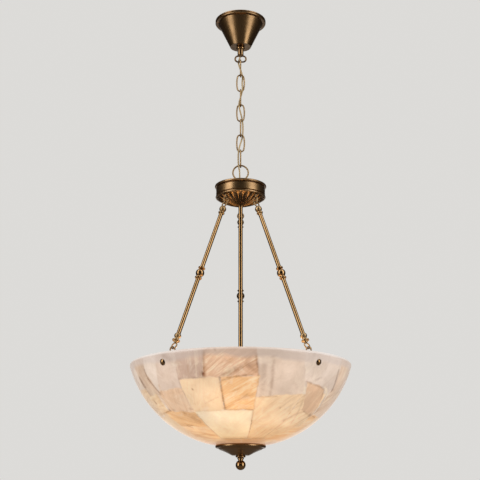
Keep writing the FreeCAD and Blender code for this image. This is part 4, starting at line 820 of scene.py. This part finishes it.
def twisted_radius(angle, along):
    """Radius round the flex: two lobes, for the two wires inside, which turn once in each pitch. It is
    FLEX_RADIUS (0.78 + 0.22 |cos(angle - turn)|^1.5)."""
    turn = 2 * np.pi * along / (TWIST_PITCH * MM)
    return MM * FLEX_RADIUS * (0.78 + 0.22 * np.abs(np.cos(angle - turn)) ** 1.5)


def flex_cover():
    """The flex's cover: a fine speckle of two near golds."""
    material, tree, shader, grains = grained("flex cover", 700.0, Coat_Weight=0.4, Coat_Roughness=0.2)
    gold = mixed(tree, spread(tree, grains["Speckle"], 0.35, 0.65), (0.52, 0.37, 0.17), (0.36, 0.25, 0.11))
    feed(tree, shader.inputs, Base_Color=gold, Roughness=spread(tree, grains["Speckle"], 0.3, 0.7, 0.25, 0.5))
    return material


def lay_flex():
    """The flex in eight lengths, each cut inside a link. Each length ends in the row of points with which the next
    one starts."""
    cover = flex_cover()
    line = flex_line()
    points = tube_points(line, twisted_radius, FLEX_SIDES)
    hooks = frame["joints"]
    heights = [joint["pos_m"][2] for joint in hooks]
    above, under = line[0, 2] + 1, line[-1, 2] - 1  # a metre clear of both ends
    cuts = [above] + [(a + b) / 2 for a, b in zip(heights, heights[1:])] + [under]
    for number, joint in enumerate(hooks):
        inside = np.flatnonzero((line[:, 2] <= cuts[number]) & (line[:, 2] >= cuts[number + 1]))
        part = points[inside[0]:inside[-1] + 2]
        faces = grid_faces(len(part), FLEX_SIDES, wrap=True)
        piece = mesh_piece("flex_length_%d" % (number + 1), part, faces, cover)
        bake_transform(piece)
    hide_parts("flex")


lay_flex()


# ---- finishes of the CAD pieces --------------------------------------------------

def frosted_bulb():
    """Frosted glass lit from within, in soft clouds and with an etched grain."""
    material, tree, shader, grains = grained("frosted bulb", 500.0, Emission_Strength=7.0, Coat_Weight=0.2)
    cloud = spread(tree, grains["Cloud"], 0.3, 0.7)
    feed(tree, shader.inputs, Base_Color=mixed(tree, cloud, (0.93, 0.90, 0.84), (0.86, 0.81, 0.72)),
         Emission_Color=mixed(tree, cloud, (1.0, 0.78, 0.50), (1.0, 0.70, 0.40)),
         Roughness=spread(tree, grains["Speckle"], 0.3, 0.7, 0.3, 0.45))
    return material


FINISHES = {
    "aged_brass": brass("aged brass", (0.33, 0.20, 0.09), (0.24, 0.14, 0.06)),
    "dark_brass": brass("dark brass", (0.26, 0.15, 0.06), (0.17, 0.095, 0.037), roughness=(0.28, 0.40)),
    "steel": plain_finish("zinc plate", (0.62, 0.62, 0.60), (0.45, 0.46, 0.46), (0.25, 0.45), Metallic=1.0),
    "porcelain": plain_finish("porcelain", (0.86, 0.84, 0.79), (0.80, 0.77, 0.71), (0.12, 0.22), grain=120.0,
                              relief=0.03, Coat_Weight=0.5),
    "bulb_cap_metal": plain_finish("bulb cap", (0.72, 0.71, 0.69), (0.55, 0.54, 0.52), (0.2, 0.4),
                                   Metallic=1.0),
    "felt": plain_finish("felt", (0.075, 0.065, 0.055), (0.045, 0.04, 0.035), (0.85, 1.0), grain=900.0,
                         relief=0.6, Sheen_Weight=0.3),
    "fibre": plain_finish("fibre washer", (0.08, 0.065, 0.05), (0.045, 0.035, 0.03), (0.6, 0.8), grain=800.0),
    "frosted_glass": frosted_bulb(),
}
POLISHED = brass("polished brass", (0.43, 0.26, 0.11), (0.34, 0.20, 0.08), (0.14, 0.22), brushed=0.0)
SATIN = brass("satin brass", (0.50, 0.34, 0.17), (0.40, 0.26, 0.12), (0.34, 0.44), brushed=0.0)
BROAD_PIECES = ("canopy", "hub_cover", "bottom_cap")
WIRE_PIECES = ("link", "loop", "eye")


def finish_of(node, slot):
    """The finish of a node's slot. Of what is aged brass, only the broad turned pieces keep that: wire is
    satin, and rods, knops and small turnings are polished."""
    if slot == "aged_brass" and not node.startswith(BROAD_PIECES):
        return SATIN if any(word in node for word in WIRE_PIECES) else POLISHED
    return FINISHES.get(slot)


for part in frame["record"]["subparts"]:
    finish = finish_of(part["node"], part["material_slot"])
    if finish:
        mesh = NODES[part["node"]].data
        mesh.materials.clear()
        mesh.materials.append(finish)


# ---- studio ----------------------------------------------------------------------

# Metres, degrees, millimetres of lens and watts
FLOOR_Z, FLOOR_REACH = -2.6, 9.0
SCREEN_REACH, SCREEN_TOP, SCREEN_FOOT, SCREEN_END, SCREEN_STEPS = 5.2, 7.0, -4.6, 163, 41
UNDER_Z, UNDER_REACH = -2.55, 4.5
SOFTBOX_ANGLE, SOFTBOX_RISE, SOFTBOX_DISTANCE = 57, 20, 2.8
SOFTBOX_WIDTH, SOFTBOX_HEIGHT, SOFTBOX_POWER, SOFTBOX_COLOUR = 1.5, 5.0, 62, (1.0, 0.97, 0.93)
PENDANT_MIDDLE = -0.55
LENS, SENSOR, CAMERA_PLACE, LOOK_UP = 80.35, 36.0, (-0.0014, -2.45117, -1.25295), 15.528


def level_square(name, reach, z, material):
    """A level square with its middle on the pendant's axis, from -reach to reach each way."""
    corners = np.array([(-reach, -reach, z), (reach, -reach, z), (reach, reach, z), (-reach, reach, z)])
    return mesh_piece(name, corners, np.array([[0, 1, 2, 3]]), material)


def clouded(name, light, dark, scale, roughness):
    """A plain matt surface in two near colours."""
    material, tree, shader, grains = grained(name, scale, Roughness=roughness)
    feed(tree, shader.inputs, Base_Color=mixed(tree, grains["Cloud"], light, dark))
    return material


def build_floor():
    """A pale floor far below the pendant."""
    floor = level_square("studio_floor", FLOOR_REACH, FLOOR_Z,
                         clouded("studio floor", (0.80, 0.79, 0.77), (0.76, 0.75, 0.73), 60.0, 0.8))


def add_softbox(name, azimuth):
    """A tall soft lamp that faces the pendant's middle, placed by its direction from there."""
    lamp = bpy.data.lights.new(name, "AREA")
    lamp.shape, lamp.size, lamp.size_y = "RECTANGLE", SOFTBOX_WIDTH, SOFTBOX_HEIGHT
    lamp.energy, lamp.color = SOFTBOX_POWER, SOFTBOX_COLOUR
    box = bpy.data.objects.new(name, lamp)
    bpy.context.scene.collection.objects.link(box)
    turn, rise = math.radians(azimuth), math.radians(SOFTBOX_RISE)
    out = SOFTBOX_DISTANCE * math.cos(rise)
    box.location = (out * math.sin(turn), -out * math.cos(turn),
                    PENDANT_MIDDLE + SOFTBOX_DISTANCE * math.sin(rise))
    box.rotation_euler = (math.radians(90) - rise, 0, turn)


def add_dark_screens():
    """Dark screens that only reflections see: one stands behind the lamps in an arc from the front round to
    each side of the back, and one lies on the floor. They give the metal its dark middle line, dark edges
    and dark undersides."""
    azimuth = np.radians(np.linspace(-SCREEN_END, SCREEN_END, SCREEN_STEPS))
    x, y = SCREEN_REACH * np.sin(azimuth), -SCREEN_REACH * np.cos(azimuth)
    z = np.repeat([SCREEN_TOP, SCREEN_FOOT], SCREEN_STEPS)
    points = np.stack([np.tile(x, 2), np.tile(y, 2), z], axis=1)
    around = mesh_piece("dark_screen", points, grid_faces(2, SCREEN_STEPS)[:, ::-1],
                        clouded("dark screen", (0.06, 0.05, 0.045), (0.04, 0.035, 0.03), 20.0, 0.9))
    under = level_square("dark_floor_screen", UNDER_REACH, UNDER_Z,
                         clouded("brown screen", (0.21, 0.17, 0.135), (0.17, 0.14, 0.11), 20.0, 0.9))
    for screen in (around, under):
        screen.visible_camera = screen.visible_diffuse = False
        screen.visible_shadow = screen.visible_transmission = False


def build_world():
    """Pale all round, as seen by the camera and in reflections, and plain grey light on the surfaces."""
    world = bpy.data.worlds.new("studio")
    bpy.context.scene.world = world
    world.use_nodes = True
    tree = world.node_tree
    back = tree.nodes["Background"]
    path = add_node(tree, "ShaderNodeLightPath").outputs
    seen = maths(tree, "MAXIMUM", path["Is Camera Ray"],
                 maths(tree, "MAXIMUM", path["Is Glossy Ray"], path["Is Transmission Ray"]))
    feed(tree, back.inputs, Color=mixed(tree, seen, (0.42, 0.42, 0.43), (0.72, 0.71, 0.69)))
    back.inputs["Strength"].default_value = 1.0


def build_camera():
    """The photograph's view: from a little below the finial, looking up at the whole pendant."""
    data = bpy.data.cameras.new("view")
    data.sensor_width = SENSOR
    data.lens = LENS
    data.clip_end = 50.0
    camera = bpy.data.objects.new("view", data)
    bpy.context.scene.collection.objects.link(camera)
    camera.location = CAMERA_PLACE
    camera.rotation_euler = (math.radians(90 + LOOK_UP), 0, 0)
    bpy.context.scene.camera = camera


build_floor()
add_softbox("softbox_left", -SOFTBOX_ANGLE)
add_softbox("softbox_right", SOFTBOX_ANGLE)
add_dark_screens()
build_world()
build_camera()
bpy.context.scene.view_settings.view_transform = "Standard"
